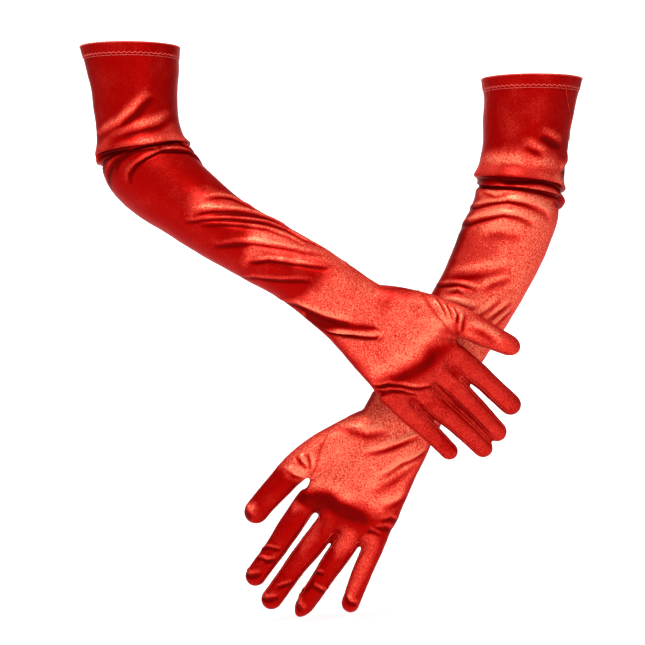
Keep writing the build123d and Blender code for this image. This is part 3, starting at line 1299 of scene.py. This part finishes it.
@dataclass(frozen=True)
class Satin:
    """Elastic satin in deep red, made paler by painted highlights and darker by painted shade, with a fine
    bright grain.

    Attributes:
        crease: the colour of the painted shade at the bottom of a crease.
        deep: the satin's own colour, where no light is painted.
        middle: the colour of a half-strength painted highlight.
        pale: the colour of a full painted highlight.
        grain: the size of the grain, in millimetres.
        speckle: how strong the grain is where no light is painted, and how much it gains under painted
            highlight.
        patches: how many soft light and dark patches there are to a metre, and how strong they are.
        relief: how strong and how deep the grain is to the light; the depth is in millimetres.
        roughness: how dull its gloss is.
        metallic: how much of its gloss takes the cloth's own colour.
        gloss: how bright the rest of its gloss is.
        gloss_tint: that gloss's colour.
        name: the material's name.
    """

    crease: tuple[float, float, float, float] = (0.13, 0.0004, 0.0003, 1.0)
    deep: tuple[float, float, float, float] = (0.28, 0.0006, 0.0004, 1.0)
    middle: tuple[float, float, float, float] = (0.62, 0.034, 0.022, 1.0)
    pale: tuple[float, float, float, float] = (0.84, 0.188, 0.104, 1.0)
    grain: float = 1.15
    speckle: tuple[float, float] = (0.35, 2.0)
    patches: tuple[float, float] = (45.0, 0.35)
    relief: tuple[float, float] = (0.35, 0.15)
    roughness: float = 0.4
    metallic: float = 0.34
    gloss: float = 0.05
    gloss_tint: tuple[float, float, float, float] = (1.0, 0.32, 0.26, 1.0)
    name: str = "red_satin"

    def material(self) -> bpy.types.Material:
        """Builds the finish.

        Returns:
            The material.
        """
        made = add_material(
            self.name,
            {
                "Roughness": self.roughness,
                "Metallic": self.metallic,
                "Specular IOR Level": self.gloss,
                "Specular Tint": self.gloss_tint,
            },
        )
        nodes, links = made.node_tree.nodes, made.node_tree.links
        shader = nodes["Principled BSDF"]
        # The painted highlight and shade come in through the mesh's point attribute.
        stretch = nodes.new("ShaderNodeAttribute")
        stretch.attribute_name = "stretch"
        painted_level = stretch.outputs["Fac"]
        fine = self._noise(made, 1.0 / (self.grain * MM))
        fine.node.inputs["Detail"].default_value = 1.0
        broad = self._noise(made, self.patches[0])
        gain = self._step(made, "MULTIPLY_ADD", painted_level, self.speckle[1], self.speckle[0])
        speck = self._step(made, "ADD", fine, -0.5)
        cloud = self._step(made, "MULTIPLY_ADD", broad, self.patches[1], -0.5 * self.patches[1])
        grainy = self._step(made, "MULTIPLY_ADD", speck, gain, cloud)
        whole = self._step(made, "MULTIPLY_ADD", painted_level, 1.1, grainy)
        floor = self._step(made, "MINIMUM", painted_level, 0.0)
        whole = self._step(made, "MAXIMUM", whole, floor)
        span = 1.0 - DARKEST_PAINTED_SHADE
        share = self._step(made, "MULTIPLY_ADD", whole, 1.0 / span, -DARKEST_PAINTED_SHADE / span)
        # The ramp turns the painted light into colour: painted crease shade, the satin's own deep red, then
        # painted highlight at half and full strength.
        tone = nodes.new("ShaderNodeValToRGB")
        tone.color_ramp.elements[0].color = self.crease
        tone.color_ramp.elements[1].color = self.pale
        for level, colour in ((0.0, self.deep), (0.5, self.middle)):
            tone.color_ramp.elements.new((level - DARKEST_PAINTED_SHADE) / span).color = colour
        links.new(share, tone.inputs["Fac"])
        links.new(tone.outputs["Color"], shader.inputs["Base Color"])
        bump = nodes.new("ShaderNodeBump")
        bump.inputs["Strength"].default_value = self.relief[0]
        bump.inputs["Distance"].default_value = self.relief[1] * MM
        links.new(fine, bump.inputs["Height"])
        links.new(bump.outputs["Normal"], shader.inputs["Normal"])
        return made

    @staticmethod
    def _noise(made: bpy.types.Material, scale: float) -> bpy.types.NodeSocket:
        """Adds a noise that stands still on the cloth.

        Args:
            made: the material.
            scale: how many waves it has to a metre.

        Returns:
            The noise's socket.
        """
        place = made.node_tree.nodes.new("ShaderNodeTexCoord")
        waves = made.node_tree.nodes.new("ShaderNodeTexNoise")
        waves.inputs["Scale"].default_value = scale
        made.node_tree.links.new(place.outputs["Object"], waves.inputs["Vector"])
        return waves.outputs["Fac"]

    @staticmethod
    def _step(
        made: bpy.types.Material, operation: str, *values: bpy.types.NodeSocket | float
    ) -> bpy.types.NodeSocket:
        """Adds one step of arithmetic.

        Args:
            made: the material.
            operation: the step's kind.
            values: its inputs, each a number or another step's socket.

        Returns:
            The result's socket.
        """
        step = made.node_tree.nodes.new("ShaderNodeMath")
        step.operation = operation
        for socket, value in zip(step.inputs, values):
            if isinstance(value, bpy.types.NodeSocket):
                made.node_tree.links.new(value, socket)
            else:
                socket.default_value = value
        return step.outputs[0]


@dataclass(frozen=True)
class Thread:
    """Sewing thread, a little paler than the satin."""

    colour: tuple[float, float, float, float] = (0.62, 0.07, 0.055, 1.0)
    roughness: float = 0.45
    name: str = "red_thread"

    def material(self) -> bpy.types.Material:
        """Builds the finish."""
        return add_material(self.name, {"Base Color": self.colour, "Roughness": self.roughness})


@dataclass(frozen=True)
class SoftBox:
    """A square lamp that points at the pair: its place and size in metres, and its power in watts."""

    place: tuple[float, float, float]
    size: float
    power: float


@dataclass(frozen=True)
class Studio:
    """The camera, the lights and the floor.

    Attributes:
        distance: from the camera to the middle of the pair, in metres.
        span: the width that the camera sees there, in metres.
        target: the middle of the pair.
        sensor: the camera's sensor width, in millimetres.
        depth: from the pair to the wall behind it, in metres.
        gap: from the fingertips down to the floor, in metres.
        glow: how much light the floor and the wall give off, which keeps them white.
        sky: how bright the sky is.
        boxes: the lamps.
    """

    distance: float = 1.8
    span: float = 0.5354
    target: tuple[float, float, float] = (-0.176, -0.022, -0.2046)
    sensor: float = 36.0
    depth: float = 2.5
    gap: float = 0.004
    glow: float = 0.72
    sky: float = 0.25
    boxes: tuple[SoftBox, ...] = (
        SoftBox((-0.5, -1.0, 1.35), 0.8, 43.0),
        SoftBox((0.6, -1.7, 0.2), 0.7, 5.0),
    )

    def camera(self) -> None:
        """Stands the camera level with the middle of the pair."""
        data = bpy.data.cameras.new("camera")
        data.sensor_width = self.sensor
        data.lens = self.sensor * self.distance / self.span
        data.clip_end = 100.0
        made = add_object("camera", data)
        x, y, z = self.target
        made.location = (x, y - self.distance, z)
        made.rotation_euler = (math.pi / 2, 0.0, 0.0)
        bpy.context.scene.camera = made

    def backdrop(self) -> None:
        """Lays a wide pale floor just under the fingertips and stands a pale wall behind."""
        low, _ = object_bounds()
        ground = low[2] - self.gap
        paint = add_material(
            "backdrop_paint",
            {
                "Base Color": (0.9, 0.9, 0.9, 1.0),
                "Roughness": 0.9,
                "Specular IOR Level": 0.0,
                "Emission Color": (1.0, 1.0, 1.0, 1.0),
                "Emission Strength": self.glow,
            },
        )
        middle = self.target[0]
        sides = (
            ("floor", self.depth, 0.0, (middle, 0.0, ground)),
            ("wall", self.depth * 0.6, math.pi / 2, (middle, self.depth, ground)),
        )
        for name, size, turn, shift in sides:
            form = bmesh.new()
            bmesh.ops.create_grid(form, x_segments=1, y_segments=1, size=size)
            bmesh.ops.rotate(form, verts=form.verts, matrix=Matrix.Rotation(turn, 3, "X"))
            bmesh.ops.translate(form, verts=form.verts, vec=shift)
            mesh = bpy.data.meshes.new(name)
            form.to_mesh(mesh)
            form.free()
            mesh.materials.append(paint)
            add_object(name, mesh)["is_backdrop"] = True

    def lights(self) -> None:
        """Hangs soft boxes round the pair, under a pale sky."""
        world = bpy.data.worlds.new("sky")
        world.use_nodes = True
        sky = world.node_tree.nodes["Background"]
        sky.inputs["Color"].default_value = (1.0, 1.0, 1.0, 1.0)
        sky.inputs["Strength"].default_value = self.sky
        bpy.context.scene.world = world
        bpy.context.scene.view_settings.view_transform = "Standard"
        for box in self.boxes:
            data = bpy.data.lights.new("soft_box", "AREA")
            data.size = box.size
            data.energy = box.power
            lamp = add_object("soft_box", data)
            lamp.location = box.place
            aim = Vector(self.target) - Vector(box.place)
            lamp.rotation_euler = aim.to_track_quat("-Z", "Y").to_euler()


# Along a path or an outline: millimetres from the limb's zero point, and degrees round it.
# After a fold's path: its height, width, lean and valley. After a patch's outline: its level of painted
# light and its softness.

LEFT_FOLDS = {
    "arm": (
        Fold(
            ((94, -54), (86, 6), (80, 41), (79, 69), (81, 110), (82, 140), (83, 183), (81, 243)),
            4.0, 3.2, 4.6, 1.0,
        ),
        Fold(
            ((109, -54), (97, 6), (92, 21), (90, 61), (89, 92), (90, 131), (89, 184), (87, 244)),
            4.0, 2.8, 4.0, 1.0,
        ),
        Fold(
            ((110, 38), (107, 48), (105, 65), (104, 86), (105, 108), (110, 126), (119, 153), (125, 193)),
            2.0, 2.4, 1.2, 0.9,
        ),
        Fold(
            ((119, 60), (117, 66), (117, 89), (120, 109), (127, 127), (135, 151), (141, 191)),
            1.9, 2.4, 1.2, 0.9,
        ),
        Fold(((97, 107), (103, 125), (99, 147)), 0.8, 2.2, 0.4, 0.6),
        Fold(((105, 6), (100, 12), (98, 40)), 1.0, 1.8, 0.5, 0.7),
        Fold(((60, 65), (57, 80), (54, 94)), 1.0, 3.0, 0.0, 0.5),
        Fold(((51, 38), (48, 59), (45, 75)), 0.8, 3.0, 0.0, 0.5),
        Fold(((68, 40), (68, 79), (70, 120), (75, 175)), 1.3, 7.0, 0.8, 0.2),
        Fold(((59, 6), (64, 12), (71, 34)), 2.0, 3.0, 0.0, 0.7),
        Fold(((186, 93), (186, 97), (188, 112), (191, 130), (198, 161), (200, 181)), 1.5, 1.8, 0.6, 0.8),
        Fold(((165, 65), (176, 85), (186, 97)), 0.9, 2.6, 0.2, 0.6),
        Fold(((195, 109), (195, 123), (202, 137)), 0.9, 1.9, 0.2, 0.7),
        Fold(((197, 84), (202, 94), (206, 122), (211, 140)), 1.0, 2.4, 0.3, 0.7),
        Fold(((181, 44), (196, 58), (207, 69)), 1.1, 2.2, 0.0, 0.8),
        Fold(((185, 31), (195, 41), (206, 49)), 0.9, 2.0, 0.0, 0.8),
        Fold(((184, 64), (199, 74), (210, 86)), 0.8, 2.2, 0.0, 0.8),
        Fold(((156, 73), (165, 93), (177, 121), (187, 159)), 0.7, 4.0, 0.2, 0.6),
        Fold(((129, 76), (134, 104), (143, 127)), 0.5, 4.0, 0.2, 0.6),
        Fold(((323, 109), (335, 131), (342, 162)), 0.9, 3.2, 0.0, 0.6),
        Fold(((316, 60), (330, 83), (341, 98), (352, 117)), 1.6, 1.9, 0.4, 0.9),
        Fold(((322, 26), (341, 62), (353, 73), (366, 86)), 1.7, 1.9, 0.4, 0.9),
        Fold(((334, 39), (354, 63), (365, 74), (377, 84)), 0.8, 3.0, 0.0, 0.6),
        Fold(((362, 26), (373, 45), (382, 62)), 0.6, 3.0, 0.0, 0.6),
        Fold(((385, 1), (386, 35), (392, 50)), 0.7, 1.5, 0.0, 0.8),
        Fold(((393, 1), (394, 34), (399, 51)), 0.7, 1.5, 0.0, 0.8),
        Fold(
            ((391, 54), (389, 76), (393, 102), (392, 122), (402, 155), (409, 180)),
            0.8, 5.5, 0.0, 0.12,
        ),
    ),
    "thumb": (
        Fold(((-6, 66), (-5, 99), (-5, 130)), 1.5, 1.7, 0.0, 0.9),
        Fold(((2, 31), (7, 77), (8, 116)), 1.5, 1.9, 0.0, 0.9),
        Fold(((-8, 48), (-12, 83), (-13, 110)), 1.2, 1.5, 0.0, 0.8),
        Fold(((57, 79), (55, 116), (54, 177)), 0.8, 2.4, 0.0, 0.4),
    ),
    "index": (
        Fold(((35, 68), (40, 140), (47, 183)), 1.4, 1.2, 0.0, 0.9),
        Fold(((44, 61), (49, 96), (52, 159)), 1.4, 1.4, 0.0, 0.9),
        Fold(((61, 84), (67, 124), (67, 182)), 1.5, 1.8, 0.0, 0.8),
    ),
    "middle": (
        Fold(((51, 58), (57, 89), (63, 115)), 1.1, 1.3, 0.0, 0.9),
        Fold(((68, 77), (75, 121), (75, 181)), 1.3, 1.7, 0.0, 0.8),
    ),
    "ring": (
        Fold(((37, 100), (40, 145), (40, 178)), 1.3, 1.3, 0.0, 0.9),
        Fold(((48, 144), (56, 147), (63, 183)), 1.3, 1.4, 0.0, 0.9),
        Fold(((48, 4), (50, 73), (50, 123)), 1.4, 1.4, 0.0, 0.9),
        Fold(((73, 74), (70, 127), (64, 182)), 1.3, 2.2, 0.0, 0.6),
    ),
    "little": (
        Fold(((-3, 77), (-4, 128), (2, 182)), 1.0, 1.4, 0.0, 0.8),
        Fold(((59, 48), (59, 97), (55, 136)), 1.2, 1.6, 0.0, 0.8),
    ),
}

# Areas of painted highlight, and of painted shade where the level is below 0.
LEFT_PAINTED_LIGHT = {
    "arm": (
        PaintedLightPatch(
            (
                (73, -176), (68, -232), (67, -281), (65, -323), (71, -354), (80, -329), (79, -264),
                (82, -182),
            ),
            0.45, 7.0,
        ),
        PaintedLightPatch(
            (
                (95, 166), (94, 67), (100, 28), (105, 6), (141, 3), (217, 4), (326, 23), (369, 24),
                (387, 48), (388, 76), (392, 103), (391, 123), (402, 156), (407, 180), (387, 181),
                (371, 181), (348, 180), (303, 160), (205, 149), (154, 154), (138, 152),
            ),
            0.6, 7.0,
        ),
        PaintedLightPatch(((148, -178), (141, -224), (153, -258), (193, -256), (204, -219)), -0.3, 12.0),
        PaintedLightPatch(((52, 97), (58, 66), (62, 63), (58, 96)), 0.25, 4.0),
        PaintedLightPatch(((43, 76), (49, 40), (52, 35), (48, 76)), 0.2, 4.0),
        PaintedLightPatch(((12, 167), (15, 103), (46, 103), (50, 161)), 0.05, 8.0),
        PaintedLightPatch(
            ((88, -176), (88, -238), (88, -300), (92, -345), (93, -328), (91, -266), (91, -176)),
            0.25, 2.0,
        ),
    ),
    "thumb": (
        PaintedLightPatch(((9, 122), (1, 82), (0, 12), (11, 54), (15, 96)), 0.35, 3.0),
        PaintedLightPatch(((53, -178), (48, -237), (52, -263), (58, -237)), 0.4, 3.0),
    ),
    "index": (
        PaintedLightPatch(((-1, -177), (-7, -204), (-3, -269), (4, -245)), 0.4, 3.0),
    ),
    "middle": (
        PaintedLightPatch(((15, 180), (-1, 140), (11, 92), (27, 111)), 0.36, 5.0),
    ),
    "ring": (
        PaintedLightPatch(((11, 156), (-2, 140), (-9, 91), (6, 61), (20, 93)), 0.38, 5.0),
    ),
    "little": (
        PaintedLightPatch(
            ((6, -176), (-2, -261), (13, -293), (39, -289), (56, -276), (61, -223), (39, -202)),
            0.4, 4.0,
        ),
    ),
}

LEFT_SEAMS = (
    Seam(
        "thumb",
        (
            (-84, -178), (-64, -179), (-49, -198), (-38, -208), (-29, -237), (-21, -262), (-12, -306),
            (1, -356),
        ),
    ),
    Seam("arm", ((9, 51), (18, 45), (28, 33), (36, 20), (49, 4))),
)

RIGHT_FOLDS = {
    "arm": (
        Fold(
            (
                (95, -78), (87, 7), (84, 39), (83, 73), (81, 113), (80, 151), (80, 172), (85, 175),
                (91, 260),
            ),
            5.0, 2.8, 5.5, 1.1,
        ),
        Fold(((85, 78), (86, 92), (86, 116), (87, 149), (89, 176), (93, 206)), 1.8, 1.5, 1.6, 0.9),
        Fold(
            (
                (124, -26), (116, 14), (91, 38), (87, 63), (86, 82), (88, 106), (91, 127), (95, 147),
                (101, 167),
            ),
            2.3, 1.7, 2.0, 0.9,
        ),
        Fold(((112, 48), (93, 73), (91, 95), (93, 118), (98, 137)), 0.8, 1.3, 0.6, 0.7),
        Fold(
            (
                (139, -40), (129, 0), (120, 21), (114, 42), (106, 62), (103, 83), (102, 100),
                (104, 117), (110, 127),
            ),
            2.3, 1.8, 2.0, 0.9,
        ),
        Fold(((43, 66), (58, 92), (65, 113), (72, 171)), 1.4, 3.2, 0.0, 0.5),
        Fold(((60, 24), (68, 58), (71, 83), (73, 114), (76, 156)), 1.2, 3.4, 0.0, 0.6),
        Fold(((207, 17), (197, 13), (182, 25), (172, 45), (164, 66)), 1.3, 1.9, 0.8, 0.8),
        Fold(((239, 11), (224, 9), (206, 29), (190, 50), (175, 72), (163, 96)), 1.8, 2.6, 1.2, 0.7),
        Fold(
            (
                (281, 10), (268, 9), (253, 23), (237, 23), (220, 35), (207, 52), (190, 72), (173, 97),
                (162, 117),
            ),
            1.7, 1.35, 1.0, 0.9,
        ),
        Fold(((257, 39), (243, 39), (224, 48), (206, 67), (188, 86), (175, 104)), 0.9, 1.3, 0.4, 0.8),
        Fold(((272, 31), (259, 51), (238, 68), (220, 82), (205, 101), (191, 123)), 1.2, 1.9, 0.6, 0.8),
        Fold(((283, 53), (270, 69), (254, 84), (237, 97), (222, 119)), 1.4, 1.5, 0.6, 0.9),
        Fold(((278, 89), (256, 116), (232, 141), (217, 169)), 1.0, 1.4, 0.4, 0.8),
        Fold(((320, 102), (299, 124), (276, 142), (255, 179)), 1.5, 2.2, 1.2, 0.8),
        Fold(
            ((348, 86), (346, 92), (326, 117), (308, 146), (295, 160), (285, 154), (283, 174)),
            2.5, 1.7, 2.4, 1.0,
        ),
        Fold(((405, 93), (398, 108), (388, 118), (377, 131), (368, 162)), 1.8, 1.4, 0.5, 0.9),
        Fold(((403, 121), (393, 123), (383, 136), (374, 161)), 1.5, 1.3, 0.4, 0.9),
        Fold(((383, 23), (377, 63), (379, 80), (373, 111), (364, 153)), 0.7, 6.0, 0.0, 0.12),
    ),
    # Folds with a negative height are grooves with a painted dark line of shade along them.
    "middle": (
        Fold(((28, 1), (12, 1), (0, 2), (-10, 2)), -1.6, 1.6, 0.0, 0.0),
        Fold(((57, 141), (49, 139), (33, 143), (17, 143), (3, 144), (-11, 157)), -1.5, 1.5, 0.0, 0.0),
    ),
    "ring": (
        Fold(((62, 0), (55, 1), (38, 0), (23, 1), (9, 2), (-6, 1)), -1.8, 1.7, 0.0, 0.0),
    ),
    "little": (
        Fold(((44, 0), (37, 2), (23, 0), (8, -1), (-6, 1)), -2.0, 1.8, 0.0, 0.0),
    ),
    "thumb": (
        Fold(((-19, 31), (-14, 53), (-9, 80), (-5, 107)), 1.3, 1.2, 0.0, 0.9),
        Fold(((-10, 45), (-6, 69), (-2, 100)), 1.4, 1.3, 0.0, 0.9),
        Fold(((-4, 49), (0, 72), (2, 106)), 1.3, 1.3, 0.0, 0.9),
        Fold(((5, 55), (6, 92), (9, 134)), 1.2, 1.5, 0.0, 0.8),
        Fold(((30, 173), (20, 181), (12, 180)), -2.2, 1.6, 0.0, 0.0),
        Fold(((41, 78), (26, 67), (13, 79)), 0.9, 3.2, 0.0, 0.4),
    ),
}

# Areas of painted highlight, and of painted shade where the level is below 0.
RIGHT_PAINTED_LIGHT = {
    "arm": (
        PaintedLightPatch(
            (
                (78, 174), (71, 155), (62, 112), (54, 93), (41, 68), (45, 63), (58, 83), (71, 105),
                (72, 95), (67, 68), (64, 52), (68, 19), (85, 14), (78, 84), (79, 140),
            ),
            0.36, 6.0,
        ),
        PaintedLightPatch(
            (
                (159, 64), (178, 1), (208, 2), (245, 2), (288, 1), (287, 17), (240, 24), (206, 45),
                (164, 102), (160, 92),
            ),
            0.4, 8.0,
        ),
        PaintedLightPatch(
            (
                (211, 58), (248, 22), (285, 2), (332, 1), (358, 1), (383, 19), (377, 63), (378, 79),
                (372, 111), (367, 151), (324, 149), (300, 135), (279, 140), (284, 91), (283, 53),
                (262, 77), (239, 95), (220, 125), (216, 87),
            ),
            0.55, 7.0,
        ),
        PaintedLightPatch(((321, 27), (340, 2), (343, 22), (333, 55)), -0.42, 8.0),
        PaintedLightPatch(
            ((287, 152), (305, 124), (337, 89), (343, 89), (324, 115), (307, 146), (296, 179)),
            -0.7, 1.5,
        ),
        PaintedLightPatch(((315, 145), (345, 95), (346, 99), (324, 132)), -0.6, 1.2),
        PaintedLightPatch(
            ((385, 23), (379, 66), (380, 82), (374, 113), (370, 157), (396, 145), (424, 115), (431, 0)),
            0.05, 5.0,
        ),
    ),
    "thumb": (
        PaintedLightPatch(((6, 75), (20, 53), (40, 60), (46, 93), (32, 119), (17, 131)), 0.22, 4.0),
        PaintedLightPatch(((-1, 88), (3, 72), (11, 134), (8, 160)), -0.3, 2.5),
    ),
    "little": (
        PaintedLightPatch(((42, 65), (53, 51), (60, 4), (61, 100), (49, 121)), -0.1, 3.0),
    ),
}

RIGHT_SEAMS = (
    Seam("thumb", ((-32, 0), (-25, 38), (-18, 72), (-12, 96), (-4, 121), (9, 181), (16, 182))),
)

# A girth: its place between two landmarks, its shift aside, half its width and half its depth.

LEFT = Glove(
    hand=Hand.LEFT,
    upper=(
        Girth(-0.16, 0.2, 44.0, 43.5),
        Girth(0.004, 0.0, 42.0, 41.8),
        Girth(0.15, 0.8, 39.4, 40.0),
        Girth(0.377, 0.2, 37.4, 38.2),
        Girth(0.64, 0.5, 35.7, 36.8),
        Girth(0.84, -0.2, 36.4, 36.6),
    ),
    fore=(
        Girth(0.06, 3.6, 36.4, 36.2),
        Girth(0.231, 7.0, 37.0, 33.0),
        Girth(0.358, 8.6, 35.6, 30.5),
        Girth(0.493, 8.2, 34.2, 28.0),
        Girth(0.638, 6.0, 33.2, 25.6),
        Girth(0.80, 3.2, 32.4, 23.2),
    ),
    palm=(
        Girth(-0.007, 0.2, 31.6, 20.6),
        Girth(0.217, 1.4, 32.4, 18.6),
        Girth(0.426, 0.6, 35.0, 17.0),
        Girth(0.646, -0.4, 38.6, 15.6),
        Girth(0.82, -0.8, 40.6, 13.8),
        Girth(0.94, -1.6, 37.0, 12.4),
        Girth(1.02, -2.0, 31.0, 11.6),
    ),
    finger_radii={
        "thumb": (13.2, 10.9, 9.8),
        "index": (10.6, 9.2, 8.8),
        "middle": (10.6, 9.3, 8.8),
        "ring": (10.4, 9.2, 8.0),
        "little": (9.2, 8.4, 7.6),
    },
    thumb_heel=(14.0, -6.0),
    bows={"thumb": -1.0, "index": 0.5, "middle": -0.5, "ring": -0.5, "little": -1.0},
    noses={"ring": 2.1},
    folds=LEFT_FOLDS,
    patches=LEFT_PAINTED_LIGHT,
    seams=LEFT_SEAMS,
    # Painted highlight above the elbow, on the fingers and on the thumb.
    cuff_painted_light=0.02,
    digit_painted_light=0.0,
    thumb_painted_light=0.02,
    inner_sides={"index": (28.0,), "middle": (28.0, 152.0), "ring": (28.0, 152.0), "little": (152.0,)},
)

RIGHT = Glove(
    hand=Hand.RIGHT,
    upper=(
        Girth(-0.16, -0.1, 43.6, 43.5),
        Girth(0.005, -0.1, 41.6, 41.8),
        Girth(0.17, -0.4, 39.4, 40.0),
        Girth(0.366, -1.2, 36.5, 38.0),
        Girth(0.543, -2.3, 35.3, 37.2),
        Girth(0.717, -2.5, 34.9, 36.6),
        Girth(0.861, -2.4, 36.3, 36.4),
    ),
    fore=(
        Girth(0.023, -3.8, 37.2, 36.0),
        Girth(0.12, -8.0, 35.4, 34.0),
        Girth(0.265, -9.6, 31.6, 30.4),
        Girth(0.426, -9.6, 29.0, 28.0),
        Girth(0.637, -5.4, 27.9, 25.2),
        Girth(0.83, -0.6, 27.6, 22.8),
    ),
    palm=(
        Girth(-0.002, 0.4, 28.8, 20.2),
        Girth(0.20, 2.0, 30.0, 18.4),
        Girth(0.42, 3.2, 34.0, 16.4),
        Girth(0.64, 3.4, 37.4, 14.8),
        Girth(0.82, 2.6, 38.8, 13.4),
        Girth(0.95, 1.0, 34.0, 12.2),
        Girth(1.02, 0.6, 28.0, 11.4),
    ),
    finger_radii={
        "thumb": (13.6, 10.8, 7.7),
        "index": (10.4, 9.2, 8.6),
        "middle": (10.2, 9.0, 8.4),
        "ring": (10.0, 9.0, 8.2),
        "little": (9.0, 8.0, 7.2),
    },
    thumb_heel=(18.0, 8.0),
    bows={"thumb": 0.0, "index": 1.0, "middle": 0.6, "ring": 0.6, "little": 1.0},
    noses={"thumb": 1.25},
    folds=RIGHT_FOLDS,
    patches=RIGHT_PAINTED_LIGHT,
    seams=RIGHT_SEAMS,
    # Painted highlight above the elbow, on the fingers and on the thumb.
    cuff_painted_light=0.0,
    digit_painted_light=0.17,
    thumb_painted_light=0.34,
    inner_sides={"index": (142.0,), "middle": (36.0, 144.0), "ring": (36.0, 144.0), "little": (36.0,)},
)

# The plain nodes that a cloth piece of the arm stands for; a digit's are those with its name.
REPLACED = {
    "cuff_hem": ("cuff_hem",),
    "upper_sleeve": ("upper_sleeve_back", "upper_sleeve_front"),
    "elbow_gathers": ("elbow_gathers",),
    "forearm": ("forearm_back", "forearm_front"),
    "wrist_sleeve": ("wrist_sleeve",),
    "hand": ("hand_back", "hand_palm", "thumb_gusset"),
}


def stitch_rows(cutter: Cutter) -> list[np.ndarray]:
    """The hem's stitches: a wandering upper row and a row of short dashes under it.

    Args:
        cutter: the glove's cutter.

    Returns:
        Each stitch's points, in millimetres.
    """
    arm = cutter.glove.arm
    turns = np.linspace(0.0, 360.0, STITCH_COUNT, endpoint=False)
    width = turns[1]
    made = []
    for k, turn in enumerate(turns):
        sway = 0.62 if k % 2 else -0.62
        upper = np.array([(-sway, 0.0), (0.0, 0.5), (sway, 1.0)])
        lower = np.array([(0.25 * sway, 0.1), (0.0, 0.45), (-0.2 * sway, 0.8)])
        for row, stitch in zip(STITCH_ROWS, (upper, lower)):
            path = np.stack([row + stitch[:, 0], turn + stitch[:, 1] * width], axis=1)
            laid = cutter.snap(arm, path, 0.05)
            if len(laid) == 3:
                laid[1] += (laid[1] - arm.place(path[1:2, 0], path[1:2, 1], 0.0)[0]) * 0.006
                made.append(laid)
    return made


def rim(cutter: Cutter) -> np.ndarray:
    """The turned edge of the arm opening.

    Args:
        cutter: the glove's cutter.

    Returns:
        Its points, in millimetres.
    """
    turns = np.linspace(0.0, 360.0, 180, endpoint=False)
    return cutter.snap(cutter.glove.arm, np.stack([np.full(len(turns), 0.6), turns], axis=1), -0.2)


def stood_for(side: str, name: str, nodes: Iterable[str]) -> list[str]:
    """Which plain nodes a cloth piece stands for.

    Args:
        side: the glove.
        name: the piece's plain name.
        nodes: every plain node.

    Returns:
        Their names.
    """
    if name in REPLACED:
        return [f"{side}_{node}" for node in REPLACED[name]]
    return [node for node in nodes if node.startswith(f"{side}_{name}_") and not node.endswith("gusset")]


def sew(glove: Glove, frame: dict, satin: bpy.types.Material, thread: bpy.types.Material) -> None:
    """Makes one glove's pieces.

    Args:
        glove: the glove.
        satin: the cloth's material.
        thread: the stitches' material.
    """
    side = glove.hand.value
    glove.grow(frame)
    skin = glove.skin()
    glove.shape(skin)
    cutter = Cutter(glove, skin)
    runs: dict[int, list[np.ndarray]] = {}
    for strand in cutter.strands():
        for label, shares in cutter.shares(strand).items():
            runs.setdefault(label, []).extend(shares)
    for index, region in enumerate(cutter.regions()):
        piece = cutter.piece(index, f"{side}_{region.name}_satin", CLOTH)
        piece.data.materials.append(satin)
        glove.attach(piece, region)
        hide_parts(*stood_for(side, region.name, frame["nodes"]))
        trims = []
        # The seams and the rim roll carry a painted highlight.
        if index in runs:
            trims.append(cords(f"{side}_{region.name}_seams", runs[index], SEAM_RADIUS, 0.3))
        if region.name == "cuff_hem":
            trims.append(cords(f"{side}_rim_roll", [rim(cutter)], RIM_RADIUS, 0.45, closed=True))
        for trim in trims:
            trim.data.materials.append(satin)
            glove.attach(trim, region)
        if region.name == "cuff_hem":
            stitches = cords(f"{side}_hem_thread", stitch_rows(cutter), THREAD_RADIUS, 0.0)
            stitches.data.materials.append(thread)
            glove.attach(stitches, region)
            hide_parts(f"{side}_hem_stitching")
            trims.append(stitches)
        glove.flat(region)
        LOG.info("%s: %d faces", piece.name, len(piece.data.polygons))


def main() -> None:
    """Builds the studio and both gloves."""
    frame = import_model()
    studio = Studio()
    studio.camera()
    studio.backdrop()
    studio.lights()
    satin, thread = Satin().material(), Thread().material()
    for glove in (LEFT, RIGHT):
        sew(glove, frame, satin, thread)


if __name__ == "__main__":
    logging.basicConfig(level=logging.INFO, format="%(message)s")
    main()
